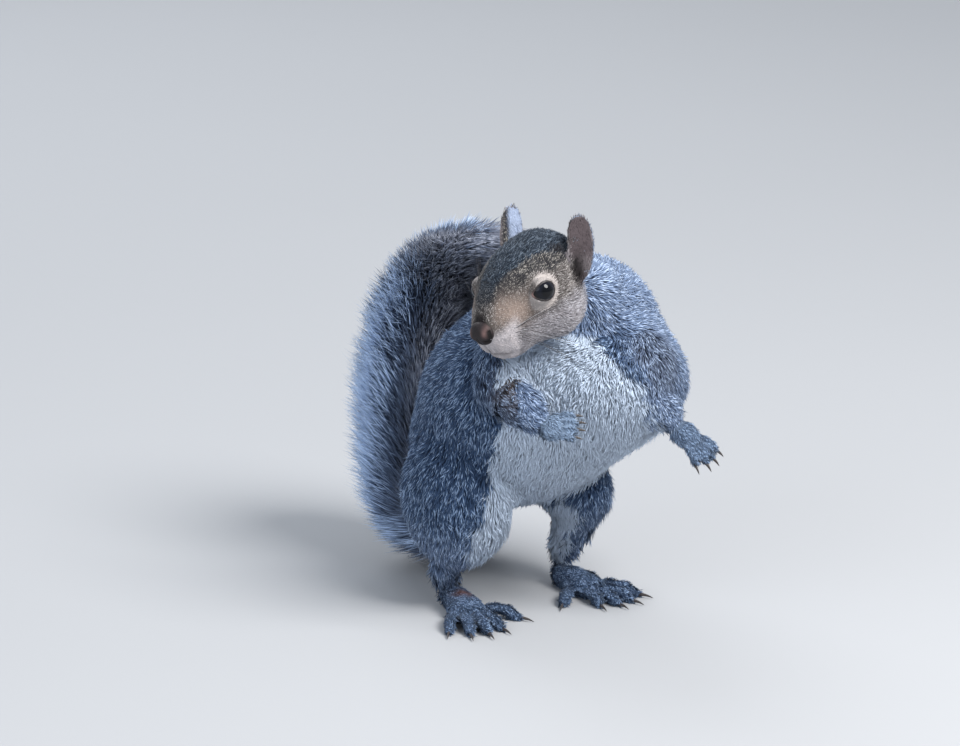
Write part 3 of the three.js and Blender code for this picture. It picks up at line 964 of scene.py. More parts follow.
def bodyMarks(places, normals, local, of):  # white front, brown, russet, and frosting with painted light on the side toward the key light
    look = markLook
    x, y, z = local.T
    across, rearward, height = ((places - middleOf("trunk")) / mm).T
    aside = 0.26 * ease(across, 0, 25)
    facing = normals @ bodyForward + 0.55 * of("thigh", "shank") - aside
    edge = look["bibLeft"]
    for top, foot, wider in (look["bibWaist"], look["bibFoot"]):
        edge = edge - wider * ease(-height, top, foot)
    pale = ease(across, edge - look["bibSoft"], edge + look["bibSoft"])
    pale *= ease(facing, *look["bibFacing"]) * fade(rearward, *look["bibBack"])
    pale *= fade(height, *look["bibTop"]) * fade(height + across, *look["bibSlant"])
    pale *= of("trunk", "neck", "thigh_right", "shank_right", "upper_arm")
    pale *= 1 - of("upper_arm_left") * 0.8
    under = ease(-normals[:, 2] - 0.5 * aside, *look["bellySlope"])
    under *= of("trunk") * ease(across, *look["bellyLeft"]) * fade(rearward, *look["bellyBack"])
    chin = of("neck", "trunk") * ease(-z, *look["chinDown"]) * ease(x, *look["chinBack"])
    chin *= fade(np.abs(y), *look["chinWide"]) * fade(-z, *look["chinDeep"])
    throat = of("head") * ease(-z - 0.1 * np.abs(y), *look["throatDown"])
    throat *= ease(-x, *look["throatBack"])
    inner = np.zeros(len(places))
    for side, sign in sideSigns.items():
        inward = normals @ (-np.cross([0, 0, 1.0], bodyForward) * sign)
        for kinds, slope in ((("thigh", "shank"), "legSlope"),
                             (("upper_arm", "forearm"), "armSlope")):
            limb = of(*(f"{kind}_{side}" for kind in kinds))
            inner = np.maximum(inner, ease(inward, *look[slope]) * limb)
    pale = np.clip(pale + under + inner * 0.9 + throat + chin, 0, 1)

    elbow = middleOf("forearm_right") * [1, 1, 0] + [0, 0, look["elbow"][0] * mm]
    brown = bump(norm(places - elbow) / mm, look["elbow"][1]) * (across < -14)
    wide, strong = look["shoulder"]
    brown += strong * bump(norm(places - middleOf("upper_arm_left")) / mm, wide)
    brown *= of("upper_arm", "forearm")
    ankle = bottomOf("shank_right")
    share, wide = look["russet"]
    spot = ankle + (bottomOf("foot_right") - ankle) * [share, share, 0] + [0, 0, 3 * mm]
    russet = bump(norm(places - spot) / mm, wide)

    # paler grizzled grey on the neck, arms, shanks and hocks; the one-sided extra on the trunk and
    # the left arm, which face the key light, is painted light, and the cut on the right arm is
    # painted shade
    frostAndLitSide = 0.8 * of("neck") + 0.55 * of("upper_arm", "forearm") + 0.5 * of("shank")
    frostAndLitSide += 0.3 * of("upper_arm_left", "forearm_left") - 0.4 * of("upper_arm_right")
    frostAndLitSide += 0.85 * of("trunk") * ease(across + 0.6 * height, *look["litTrunkSide"])
    frostAndLitSide += 0.55 * of("thigh") * ease(-height, *look["hock"])
    return pale, brown, russet, frostAndLitSide


def faceMarks(local, of):  # on the head alone
    look = markLook
    x, y, z = local.T
    wide, back, onHead = np.abs(y), np.clip(-x, 0, 50), of("head")
    nape = ease(back - 0.3 * z, *look["nape"])
    crownHalf = np.interp(back, look["crownBack"], look["crownHalf"])
    crown = onHead * ease(crownHalf - wide, -1.2, 1.2) * ease(z, 3, 7) * ease(back, 2, 16)
    crown *= 1 - 0.8 * ease(back - 0.3 * z, 46, 58)
    browLow = np.interp(back, look["browBack"], look["browLow"])
    brow = onHead * ease(z - browLow, -1.0, 1.0) * fade(back - 0.3 * z, 42, 56)
    cheek = onHead * ease(-z, *look["cheek"]) * (1 - nape)
    middle, reach = look["tan"]
    spread = np.hypot((x - middle) * 0.75, z - 0.25 * x - 6)
    tan = onHead * bump(spread, reach) * ease(wide, 4.5, 7.5)
    muzzle = onHead * np.maximum(ease(x, -14, -8) * ease(-z - 0.35 * x, 0.5, 6), 0.5 * cheek)
    # painted shadow in the fold at the front of each ear's base
    foldShadow = bump(norm((local - look["earFoldShadow"]) * [1, 0, 0.6]), 3.6)
    foldShadow *= ease(wide, 12.5, 14.5) * fade(wide, 18.5, 19.5)
    # dark fur round the nose tip, partly painted shade, and a dark lip line with painted shade in
    # the mouth's crease
    dark = onHead * ease(x, -6, -2) * fade(wide, 2.4, 4.2) * ease(z, -2, 1)
    dark = np.maximum(dark, onHead * bump(mouthGap(local), 0.7) * 0.6 * ease(x, -9, -6))
    dark = np.maximum(dark, 0.85 * onHead * foldShadow)
    plain = onHead * (1 - 0.35 * cheek) * (1 - nape)
    return plain, crown, tan, muzzle, dark, brow, onHead * nape


def markings(places, normals, part):  # the same for the skin and for the roots of the tufts
    def of(*wanted):
        return isPart(part, *wanted)

    local = head.inside(places)
    pale, brown, russet, frostAndLitSide = bodyMarks(places, normals, local, of)
    onHead, crown, tan, muzzle, dark, brow, nape = faceMarks(local, of)
    frostAndLitSide = np.clip((frostAndLitSide + 0.8 * nape) * (1 - 0.85 * brown), 0, 1)
    paw = 0.45 * of("paw") + 0.5 * of("paw_right") + 0.15 * of("foot")
    cream, inEar, behind, earRim = np.zeros((4, len(places)))
    for side, sign in sideSigns.items():
        ringed = fade(ringShare(local, side), 0.94, 1.06)
        cream = np.maximum(cream, of("head") * ringed)
        mine, ear = of(f"ear_{side}"), earSpaces[side]
        over, tall, _ = ear.shares(places)
        opens = ease(normals @ ear.out, 0.0, 0.25)
        rim = np.maximum(ease(np.abs(over), 0.72, 0.92), ease(tall, 0.93, 1.0))
        inEar = np.maximum(inEar, mine * opens)
        rim = np.maximum(rim, 0.55 * opens * fade(tall, 0.25, 0.5))
        earRim = np.maximum(earRim, mine * rim * ease(tall, 0.05, 0.3))
        behind = np.maximum(behind, mine * (1 - opens) * fade(over, 0.2, 0.5))
        brow = np.maximum(brow, mine * (1 - opens) * ease(over, 0.2, 0.5))
        # painted shade in the ear hole, where the skin is also sunk
        hole = np.clip(1.8 * ear.hole(places), 0, 1) * (local[:, 1] * sign > 10)
        dark = np.maximum(dark, hole * np.maximum(mine * opens, of("head")))
    rows = {"coatMarks": (pale, brown, russet), "headMarks": (onHead, crown, tan),
            "faceMarks": (cream, muzzle, dark), "limbMarks": (paw, inEar, behind),
            "toneMarks": (brow, frostAndLitSide, earRim)}
    return {key: np.stack(row, 1) for key, row in rows.items()}


skinMarks = markings(skin.places, skin.normals, skin.part)
skinValues = {key: skin.around.smooth(marks, 2) for key, marks in skinMarks.items()}
skinValues.update(rootPlace=skin.places, alongHair=np.full(len(skin.places), 0.3),
                  tuftShade=np.full(len(skin.places), 0.5))
skinPiece = makeMesh("skin", skin.places, skin.faces, coatFinish("skin under the coat", True),
                     skinValues)
setUp(skinPiece, "body_fur", *fleshNodes)


def lidFinish():
    finish = Finish("eyelid rim")
    fine = finish.noise(finish.vector("rootPlace"), 900.0, 2.0)
    tone = finish.mix(fine, *eyeLook["lidTones"])
    tone = finish.mix(finish.number("corner"), tone, eyeLook["cornerTone"])
    return finish.shader(Base_Color=tone, Roughness=0.4,
                         Normal=finish.relief(fine, 0.3, 0.2 * mm))


lids = makeMesh("eyelids", lidPlaces, lidFaces, lidFinish(),
                {"corner": lidCorner, "rootPlace": lidPlaces})
setUp(lids, "head_fur")


ballLook = {
    "cornea": 0.35,  # mm that the clear front stands out
    "rings": 48,
    # the blue in the iris and pupil is a painted reflection of a cool sky
    "iris": (0.005, 0.006, 0.011),
    "pupil": (0.0012, 0.0016, 0.003),
    "pupilEdge": (0.42, 0.62),  # radians from the axis
    "rim": (0.006, 0.005, 0.006),
    "rimEdge": (0.85, 1.0),
}


def ballFinish():
    finish = Finish("eye")
    fromAxis = finish.number("fromAxis")
    fibres = finish.noise(finish.vector("rootPlace"), 1800.0, 3.0, 0.6)
    tone = finish.mix((fromAxis + (fibres - 0.5) * 0.08).between(*ballLook["pupilEdge"]),
                      ballLook["pupil"], ballLook["iris"])
    tone = finish.mix(fromAxis.between(*ballLook["rimEdge"]), tone, ballLook["rim"])
    return finish.shader(Base_Color=tone, Roughness=0.05, Specular_IOR_Level=0.28)


def lathe(profile, around):  # rings round the first axis, from (along, radius) stops
    turn = ringTurns(around)
    rings = [np.stack([np.full(around, along), radius * np.cos(turn), radius * np.sin(turn)], 1)
             for along, radius in profile]
    return closedTube(np.stack(rings), [[profile[0][0], 0, 0], [profile[-1][0], 0, 0]])


def makeEyes(finish):
    angle = np.linspace(0, math.pi, ballLook["rings"] + 1)[1:-1]
    stands = eyeRadius + ballLook["cornea"] * bump(angle, 0.75)
    local, faces = lathe(list(zip(stands * np.cos(angle), stands * np.sin(angle))), 64)
    local[-2:, 0] = eyeRadius + ballLook["cornea"], -eyeRadius
    for side in sideSigns:
        eye = EyeSpace(side)
        places = eye.outside(local)
        fromAxis, _ = eye.angles(local)
        ball = makeMesh(f"eyeball_{side}", places, outward(places, faces), finish,
                        {"fromAxis": fromAxis, "rootPlace": places})
        setUp(ball, "eye", f"eye_{side}")
        print("eyeball", side, len(places), "corners")


makeEyes(ballFinish())


noseLook = {
    "middle": (-1.1, 0, 0.7),  # from the middle of its solid, forward, left and up, in mm
    "size": (3.9, 6.2, 5.3),  # half of it
    "slit": [(5.4, 1.5), (5.5, 0.1), (5.2, -1.3), (4.5, -2.3), (3.6, -2.8), (2.8, -2.6)],
    "slitWidth": 0.6,
    "slitDepth": 1.0,
    "front": (-1.2, 0.6),  # how far forward the carving fades in
    "cleft": (0.5, 0.3),  # width and depth
    "wing": (3.9, 0.6, 1.9, 0.6),  # aside, up, size and how far it swells
    "rosy": (4.2, 1.6, 1.25),  # aside, up and size
    "corners": (112, 80),  # round and along
    "tones": ((0.009, 0.007, 0.008), (0.026, 0.019, 0.021)),
    "rosyTone": (0.24, 0.145, 0.135),
    "nostrilShade": (0.006, 0.004, 0.004),
}


noseMiddle = head.inside(middleOf("nose")) + noseLook["middle"]


def slitGap(left, up):  # distance to the comma of the nearer nostril
    gaps = [np.full(len(left), 9.0)]
    stops = noseLook["slit"]
    for (ax, ay), (bx, by) in zip(stops, stops[1:]):
        dx, dy = bx - ax, by - ay
        t = np.clip(((left - ax) * dx + (up - ay) * dy) / (dx * dx + dy * dy), 0, 1)
        gaps.append(np.hypot(left - ax - t * dx, up - ay - t * dy))
    return np.min(gaps, axis=0)


def noseFinish():
    finish = Finish("nose leather")
    place = finish.vector("rootPlace")
    pebbles = finish.add("ShaderNodeTexVoronoi", {}, {"Vector": place, "Scale": 2600.0})
    cloud = finish.noise(place, 500.0, 3.0)
    tone = finish.mix(cloud, *noseLook["tones"])
    tone = finish.mix(finish.number("rosy") * (0.3 + 0.45 * cloud), tone, noseLook["rosyTone"])
    # the nostrils and the cleft below them are painted dark as shade in their hollows
    tone = finish.mix(finish.number("slit"), tone, noseLook["nostrilShade"])
    return finish.shader(Base_Color=tone, Roughness=0.42 + 0.2 * cloud,
                         Normal=finish.relief(pebbles, 0.5, 0.2 * mm), Specular_IOR_Level=0.25)


def makeNose():
    (around, along), (cleftWidth, cleftDepth) = noseLook["corners"], noseLook["cleft"]
    angle = np.linspace(0, math.pi, along)[1:-1]
    local, faces = lathe(list(zip(np.cos(angle), np.sin(angle))), around)
    local[-2:, 0] = 1, -1
    ahead, left, up = (local * noseLook["size"]).T
    gap = slitGap(np.abs(left), up)
    front = ease(ahead, *noseLook["front"])
    cleft = bump(left, cleftWidth) * ease(-up, -0.8, 1.8)
    slit = bump(gap, noseLook["slitWidth"])
    sunk = front * (noseLook["slitDepth"] * slit + cleftDepth * cleft)
    aside, rise, near, swollen = noseLook["wing"]
    swell = front * swollen * bump(np.hypot(np.abs(left) - aside, up - rise), near)
    pad = np.stack([ahead - sunk + swell, left, up], 1)
    places = head.outside(pad + noseMiddle)
    aside, rise, near = noseLook["rosy"]
    rosy = bump(np.hypot(np.abs(left) - aside, (up - rise) * 0.6), near)
    values = {"rootPlace": places, "rosy": rosy,
              "slit": np.clip(1.4 * slit + 0.5 * front * cleft, 0, 1)}
    nose = makeMesh("nose_pad", places, outward(places, faces), noseFinish(), values)
    setUp(nose, "nose_leather", "nose")
    print("nose pad:", len(places), "corners")


makeNose()


clawLook = {
    "rooted": 1.7,  # mm that the base reaches back into the toe
    "thick": 0.78,
    "flat": 0.68,  # its width as a share of its height
    "hook": 0.16,  # share of the length that it bows up
    "taper": (1.6, 0.8),
    "point": 0.06,
    "rings": 14,
    "around": 12,
    "tones": ((0.055, 0.045, 0.042), (0.018, 0.015, 0.016)),  # at the base and the tip
    "streak": (0.13, 0.11, 0.10),
}


def clawFinish():
    finish = Finish("claw horn")
    place = finish.vector("rootPlace")
    along = finish.number("alongClaw")
    streaks = finish.noise(place, 1500.0, 3.0, 0.6)
    tone = finish.mix(along.between(0.1, 0.9), *clawLook["tones"])
    tone = finish.mix(streaks * 0.5, tone, clawLook["streak"])
    return finish.shader(Base_Color=tone, Roughness=0.32,
                         Normal=finish.relief(streaks, 0.25, 0.1 * mm))


def makeClaws(finish):
    for node in [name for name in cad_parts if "_claw_" in name]:
        corners, _ = nodeArrays(node)
        limb = middleOf(node.split("_claw_")[0])
        far = norm(corners - limb)
        tip = corners[far.argmax()]
        spread = corners - corners.mean(0)
        way = unit(np.linalg.svd(spread, full_matrices=False)[2][0])
        way *= np.sign(way @ (tip - corners.mean(0)))
        behind = spread @ way
        base = corners[behind < behind.min() + 0.8 * mm].mean(0) - way * clawLook["rooted"] * mm
        length = np.linalg.norm(tip - base)
        up = unit(np.cross(np.cross(way, [0, 0, 1.0]), way))
        side = np.cross(way, up)
        t = np.linspace(0, 1, clawLook["rings"])
        centre = base + (tip - base) * t[:, None]
        centre = centre + up * (length * clawLook["hook"] * 4 * t * (1 - t))[:, None] * 0.5
        fuller, blunter = clawLook["taper"]
        radius = clawLook["thick"] * mm * (1 - t ** fuller) ** blunter + clawLook["point"] * mm
        around = clawLook["around"]
        places, faces = closedTube(
            roundTube(centre, radius, clawLook["flat"] * side, up, around), [base, tip])
        along = np.concatenate([np.repeat(t, around), [0, 1]])
        claw = makeMesh(node.replace("claw", "nail"), places, outward(places, faces),
                        finish, {"rootPlace": places, "alongClaw": along})
        setUp(claw, "claw", node)
    print("claws done")


makeClaws(clawFinish())


tuftLook = {
    "sunk": 0.05,  # share of the length that is below the skin
    "drift": 0.26,  # how far the lie wanders, in radians
    "driftSize": 9.0,  # mm
    "jitter": 0.19,
    "lockSize": 2.7,  # mm across the tufts whose tips lean together
    "lockPull": 0.3,
    "droop": 0.08,
    "patch": 0.003,
    "widest": 0.66,  # share of the length
    "ridge": 0.32,
    "lengths": (0.68, 1.15),  # shares of the part's own length and width
    "widths": (0.75, 1.2),
    "sway": 0.12,
}

coatPieces = {  # kinds of part, and how many pieces they are split into round the trunk
    "coat_head": (["head", "ear"], 1),
    "coat_arms": (["neck", "upper_arm", "forearm"], 1),
    "coat_paws": (["shank", "foot", "paw"], 1),
    "coat_haunches": (["thigh"], 1),
    "coat_trunk": (["trunk"], 4),
}


def waves(places, size, seed):  # smooth noise of about unit strength
    rng = np.random.default_rng(seed)
    ways = unit(rng.normal(size=(9, 3))) * rng.uniform(0.6, 1.5, (9, 1))
    turns = places @ ways.T * (2 * math.pi / (size * mm)) + rng.uniform(0, 6.28, 9)
    return np.sin(turns).sum(1) * math.sqrt(2 / 9)


class Roots:  # the places on the skin where tufts grow, with what the skin says there
    def __init__(self):
        area = norm(faceCross(skin.places, skin.faces)) / 2 / mm ** 2
        density = skin.field[:, 4] * self.growth()
        total = np.cumsum(area * density[skin.faces].mean(1))
        count = int(total[-1])
        spots = (np.arange(count) + draw.random(count)) * (total[-1] / count)
        self.face = np.minimum(np.searchsorted(total, spots), len(area) - 1)
        a, b = draw.random((2, count))
        over = a + b > 1
        a[over], b[over] = 1 - a[over], 1 - b[over]
        self.weights = np.stack([1 - a - b, a, b], 1)
        self.places = self.at(skin.places)
        self.normals = unit(self.at(skin.normals))
        self.lie = unit(self.at(skin.lie))
        self.field = self.at(skin.field)
        self.part = skin.part[skin.faces[self.face, self.weights.argmax(1)]]
        middles = self.places + self.lie * (self.field[:, 1] * 0.45 * mm)[:, None]
        self.marks = markings(middles, self.normals, self.part)

    def at(self, values):
        return (values[skin.faces[self.face]] * self.weights[..., None]).sum(1)

    def growth(self):  # none in the eyes, on the nose, along the lips or under the soles
        grows = np.ones(len(skin.places))
        for side in sideSigns:
            eye = EyeSpace(side)
            ball = eye.inside(skin.places)
            angle, opening = eye.angles(ball)
            near = norm(ball) < 11
            grows[near] = np.minimum(grows, ease(angle - opening, 0.1, 0.18))[near]
            ear = earSpaces[side]
            grows *= 1 - ear.opens(skin.normals) * ear.hole(skin.places)
        local = head.inside(skin.places)
        fromNose = (local - noseMiddle) / noseLook["size"]
        grows *= ease(norm(fromNose), 0.95, 1.1)
        onHead = isPart(skin.part, "head")
        grows[onHead] *= ease(mouthGap(local[onHead]), 0.3, 0.7)
        grows *= 1 - (skin.normals[:, 2] < -0.4) * (skin.places[:, 2] < 1.6 * mm)
        grows *= 1 - 0.35 * skinMarks["limbMarks"][:, 1]
        return grows


def lockPull(places, size, seed):  # from each root toward the middle of its lock
    cells = np.floor(places / (size * mm) + 0.35 * waves(places, size * 2.5, seed)[:, None])
    _, cell = np.unique(cells.astype(int) @ [1, 4096, 4096 ** 2], return_inverse=True)
    number = np.bincount(cell)
    middle = np.stack([np.bincount(cell, places[:, i]) / number for i in range(3)], 1)
    return middle[cell] - places, cell


def unwrapRoots(places, part, patchParts):  # round each part's own middle, one tile a part
    patch = np.zeros((len(places), 2))
    tiles = math.ceil(math.sqrt(len(patchParts)))
    for i, one in enumerate(patchParts):
        mine = part == one
        spoke = places[mine] - skin.places[skin.part == one].mean(0)
        turn = np.arctan2(spoke[:, 1], spoke[:, 0]) % (2 * math.pi)
        rise = np.arctan2(spoke[:, 2], np.hypot(spoke[:, 0], spoke[:, 1]))
        both = np.stack([turn, rise], 1)
        both = (both - both.min(0)) / np.maximum(np.ptp(both, axis=0), 1e-6)
        patch[mine] = (np.array([i % tiles, i // tiles]) + 0.02 + 0.95 * both) / tiles
    return patch


# A three-sided spindle through each root, widest place and tip, closed all round.
def tuftMesh(centres, widths, side, over, values, patch):
    root, belly, tip = centres.transpose(1, 0, 2)
    wide = widths[:, None]
    corners = [root, belly - side * wide, belly + side * wide, belly + over * wide, tip]
    places = np.stack(corners, 1).reshape(-1, 3)
    places[:, 2] = np.maximum(places[:, 2], 0.05 * mm)
    each = [(0, 2, 1), (0, 3, 2), (0, 1, 3), (1, 2, 4), (2, 3, 4), (3, 1, 4)]
    faces = (np.arange(len(root))[:, None, None] * 5 + np.array(each)[None]).reshape(-1, 3)
    widest = tuftLook["widest"]
    along = np.array([0, widest, widest, widest, 1])
    shape = np.array([(0, 0), (-0.5, widest), (0.5, widest), (0, 0.8 * widest), (0, 1)])
    patches = patch[:, None] + shape[None] * tuftLook["patch"]
    spread = {key: np.repeat(value, 5, axis=0) for key, value in values.items()}
    spread["alongHair"] = np.tile(along, len(root))
    return places, faces, spread, patches.reshape(-1, 2)


def growTufts(roots, chosen):
    places, normals, lie = roots.places[chosen], roots.normals[chosen], roots.lie[chosen]
    _, length, width, lift, _ = roots.field[chosen].T
    count = len(places)
    pull, lock = lockPull(places, tuftLook["lockSize"], 5)
    pull -= normals * (pull * normals).sum(1)[:, None]
    side = np.cross(normals, lie)
    wander = tuftLook["drift"] * waves(places, tuftLook["driftSize"], 11)
    wander += draw.normal(0, tuftLook["jitter"], count)
    lie = lie * np.cos(wander)[:, None] + side * np.sin(wander)[:, None]
    side = np.cross(normals, lie)
    length = length * draw.uniform(*tuftLook["lengths"], count) * mm
    rise = np.sin(np.radians(lift * np.clip(draw.normal(1, 0.3, count), 0.3, 1.9)))
    sway = draw.normal(0, tuftLook["sway"], count)
    centres = []
    for t in (0, tuftLook["widest"], 1):
        ahead = lie * (length * t)[:, None] + side * (length * sway * t * t)[:, None]
        up = length * (rise * t - tuftLook["droop"] * t * t - tuftLook["sunk"])
        centres.append(places + ahead + normals * up[:, None] +
                       pull * tuftLook["lockPull"] * (t ** 1.3))
    widths = width * draw.uniform(*tuftLook["widths"], count) * mm / 2
    lockShade = np.random.default_rng(3).random(lock.max() + 1)[lock]
    values = {key: value[chosen] for key, value in roots.marks.items()}
    values.update(rootPlace=places, skinNormal=normals,
                  tuftShade=lockShade * 0.25 + draw.random(count) * 0.75)
    patch = unwrapRoots(places, roots.part[chosen], np.unique(roots.part[chosen]))
    return tuftMesh(np.stack(centres, 1), widths, side, normals * tuftLook["ridge"], values, patch)


def growCoat():
    roots = Roots()
    kinds = partKinds[roots.part]
    spoke = roots.places - middleOf("trunk")
    turn = np.arctan2(spoke[:, 1], spoke[:, 0])
    material = coatFinish("coat")
    slots = {"coat_head": "head_fur", "coat_paws": "paw_fur"}
    for name, (wanted, splits) in coatPieces.items():
        mine = np.isin(kinds, wanted)
        cuts = np.quantile(turn[mine], np.linspace(0, 1, splits + 1))
        for i in range(splits):
            chosen = mine & (turn >= cuts[i]) & ((turn < cuts[i + 1]) | (i == splits - 1))
            places, faces, values, patches = growTufts(roots, chosen)
            title = name if splits == 1 else f"{name}_{i + 1}"
            piece = makeMesh(title, places, faces, material, values, patches)
            setUp(piece, slots.get(name, "body_fur"))
            print(title, chosen.sum(), "tufts")


growCoat()


plumeLook = {
    "locks": 27000,  # in each of its pieces
    "width": 0.54,
    "advance": (8, 26),  # mm that a lock leans along the tail
    "reach": (0.80, 1.10),  # share of the tail's half width
    # the blues in these bands are the same painted cast of cool shade light
    "bands": [(0.0, (0.190, 0.205, 0.265)), (0.38, (0.175, 0.200, 0.270)),
              (0.50, (0.095, 0.125, 0.195)), (0.62, (0.085, 0.122, 0.205)),
              (0.70, (0.34, 0.46, 0.68)), (0.80, (0.50, 0.64, 0.88))],
    "underFringe": 0.3,  # narrower on the side toward the back
    "ticks": (0.46, 0.50, 0.60),
    "rooted": 3.0,  # mm from the centre line
    "scatter": 1.2,
    "lockSize": 4.5,
    "lockPull": 0.35,
    "bow": (0.03, 0.14),  # share of a lock's length
    "besideBack": (0.45, 0.5, 0.68),  # how far the fringe is held in, and where along the tail
    "nearTip": (0.5, 0.72, 0.82),
    "nearRoot": (0.2, 0.14, 0.34),
    "crest": 0.76,
}


def tailFinish():
    finish = Finish("tail hair")
    place = finish.vector("rootPlace")
    along = finish.number("alongHair")
    shade = finish.number("tuftShade")
    rim = finish.number("rimShare")
    fine = finish.noise(place, 300.0, 2.0)
    banded = (rim + (shade - 0.5) * 0.16 + (fine - 0.5) * 0.12).limited()
    tone = finish.ramp(banded, plumeLook["bands"])
    ticked = along.between(0.6, 0.85) * shade.between(0.5, 0.7) * (1 - rim.between(0.3, 0.6))
    tone = finish.mix(ticked * 0.85, tone, plumeLook["ticks"])
    fringe = rim.between(0.6, 0.8)
    light = 0.74 + 0.58 * shade * (1 - 0.6 * fringe) + 0.32 * fringe
    return finish.shader(Base_Color=finish.scaled(tone, light), Roughness=0.7,
                         Specular_IOR_Level=0.2, Sheen_Weight=0.1, Sheen_Roughness=0.5,
                         Normal=softNormal(finish, 1.0))


def tailAt(row, share):
    stops = np.linspace(0, 1, len(tail.centre))
    share = np.clip(share, 0, 1)
    if row.ndim == 1:
        return np.interp(share, stops, row)
    return np.stack([np.interp(share, stops, column) for column in row.T], 1)


def growPlume(name, start, end, material):
    count = plumeLook["locks"]
    spots = draw.uniform(start, end, count)
    turn = draw.uniform(0, 2 * math.pi, count)
    lengthOfTail = tailLook["step"] * mm * (len(tail.centre) - 1)
    advance = draw.uniform(*plumeLook["advance"], count) * mm
    tipSpot = spots + advance / lengthOfTail
    beyond = np.maximum(tipSpot - 1, 0) * lengthOfTail
    reach = draw.uniform(*plumeLook["reach"], count) - 0.3 * draw.random(count) ** 3
    reach *= 1 - ease(tipSpot, 0.97, 1.03) * (1 - np.sqrt(draw.random(count)))  # closes the end
    halfWidth = tailAt(tail.width, tipSpot)
    wide, high = halfWidth * reach, tailAt(tail.thickness, tipSpot) * reach
    above = unit(tailAt(tail.above, tipSpot))
    outward = tail.across * np.cos(turn)[:, None] + above * np.sin(turn)[:, None]
    root = tailAt(tail.centre, spots) + outward * plumeLook["rooted"] * mm
    tip = tailAt(tail.centre, tipSpot) + unit(tailAt(tail.along, tipSpot)) * beyond[:, None]
    tip = tip + tail.across * (wide * np.cos(turn))[:, None]
    tip = tip + above * (high * np.sin(turn))[:, None]
    tip += draw.normal(0, plumeLook["scatter"] * mm, (count, 3))
    pull, lock = lockPull(tip, plumeLook["lockSize"], 21)
    tip += pull * plumeLook["lockPull"]
    bow = outward * (norm(tip - root) * draw.uniform(*plumeLook["bow"], count))[:, None]
    steps = (0, tuftLook["widest"], 1)
    centres = np.stack([root + (tip - root) * t + bow * (4 * t * (1 - t)) for t in steps], 1)
    way = unit(tip - root)
    side = unit(np.cross(outward + 0.01, way))
    over = np.cross(way, side) * 0.6
    width = plumeLook["width"] * draw.uniform(0.7, 1.2, count) * mm / 2
    shade = draw.random(lock.max() + 1)[lock] * 0.25 + draw.random(count) * 0.75
    thick = tailAt(tail.thickness, tipSpot)
    fromMiddle = centres - tailAt(tail.centre, tipSpot)[:, None]
    beside = fromMiddle @ (tail.across * np.sign(tail.across[0])) / halfWidth[:, None]
    held = []
    for key, eased in (("besideBack", ease), ("nearTip", ease), ("nearRoot", fade)):
        most, first, last = plumeLook[key]
        held.append(most * eased(spots, first, last)[:, None])
    inner = np.maximum(np.maximum(held[0] * (beside > 0), held[1]), held[2])
    rim = np.abs(beside) * (1 - inner)
    raised = (fromMiddle * above[:, None]).sum(-1) / thick[:, None]
    crest = (ease(spots, 0.6, 0.72) * fade(spots, 0.86, 0.95))[:, None]
    rim = np.maximum(rim, plumeLook["crest"] * crest * ease(raised, 0.45, 0.95))
    rim -= plumeLook["underFringe"] * (raised < 0) * np.maximum(rim - 0.42, 0)
    facing = unit(tail.across * (np.cos(turn) / halfWidth)[:, None] +
                  above * (np.sin(turn) / thick)[:, None])
    patch = np.stack([turn / (2 * math.pi), (spots - start) / (end - start)], 1) * 0.97 + 0.01
    places, faces, values, patches = tuftMesh(
        centres, width, side, over,
        {"rootPlace": root, "tuftShade": shade, "skinNormal": facing}, patch)
    values["rimShare"] = rim[:, [0, 1, 1, 1, 2]].ravel()
    piece = makeMesh(name, places, faces, material, values, patches)
    print(name, count, "locks")
    return setUp(piece, "tail_fur")


plume = tailFinish()
growPlume("tail_coat_low", 0.06, 0.5, plume)
growPlume("tail_coat_high", 0.42, 1.0, plume)


whiskerLook = {
    "onPad": 15,  # on each side
    "thick": 0.11,  # mm, at the root
    "shortest": 22,
    "longer": 5.0,  # mm for each column back
    "pad": (7.0, -3.8),  # of the first, back and up from the nose tip
    "spacing": (2.1, -1.9),
    "aside": 14,
    "way": (-0.85, 0.62, 0.22),  # of the first, forward, aside and up
    "fan": (0.12, 0.05, 0.36),  # forward for each column, aside and down for each row
    "overEye": 3,
    "rings": 9,
    "around": 5,
    "dark": (0.018, 0.016, 0.018),
    "pale": (0.42, 0.42, 0.44),
    "paleTip": (0.25, 0.25, 0.27),
}


def whiskerFinish():
    finish = Finish("whisker")
    along = finish.number("alongHair")
    fine = finish.noise(finish.vector("rootPlace"), 400.0)
    tone = finish.mix(finish.number("tuftShade"), whiskerLook["dark"], whiskerLook["pale"])
    tone = finish.mix(along.between(0.5, 1.0) * fine, tone, whiskerLook["paleTip"])
    return finish.shader(Base_Color=tone, Roughness=0.4)


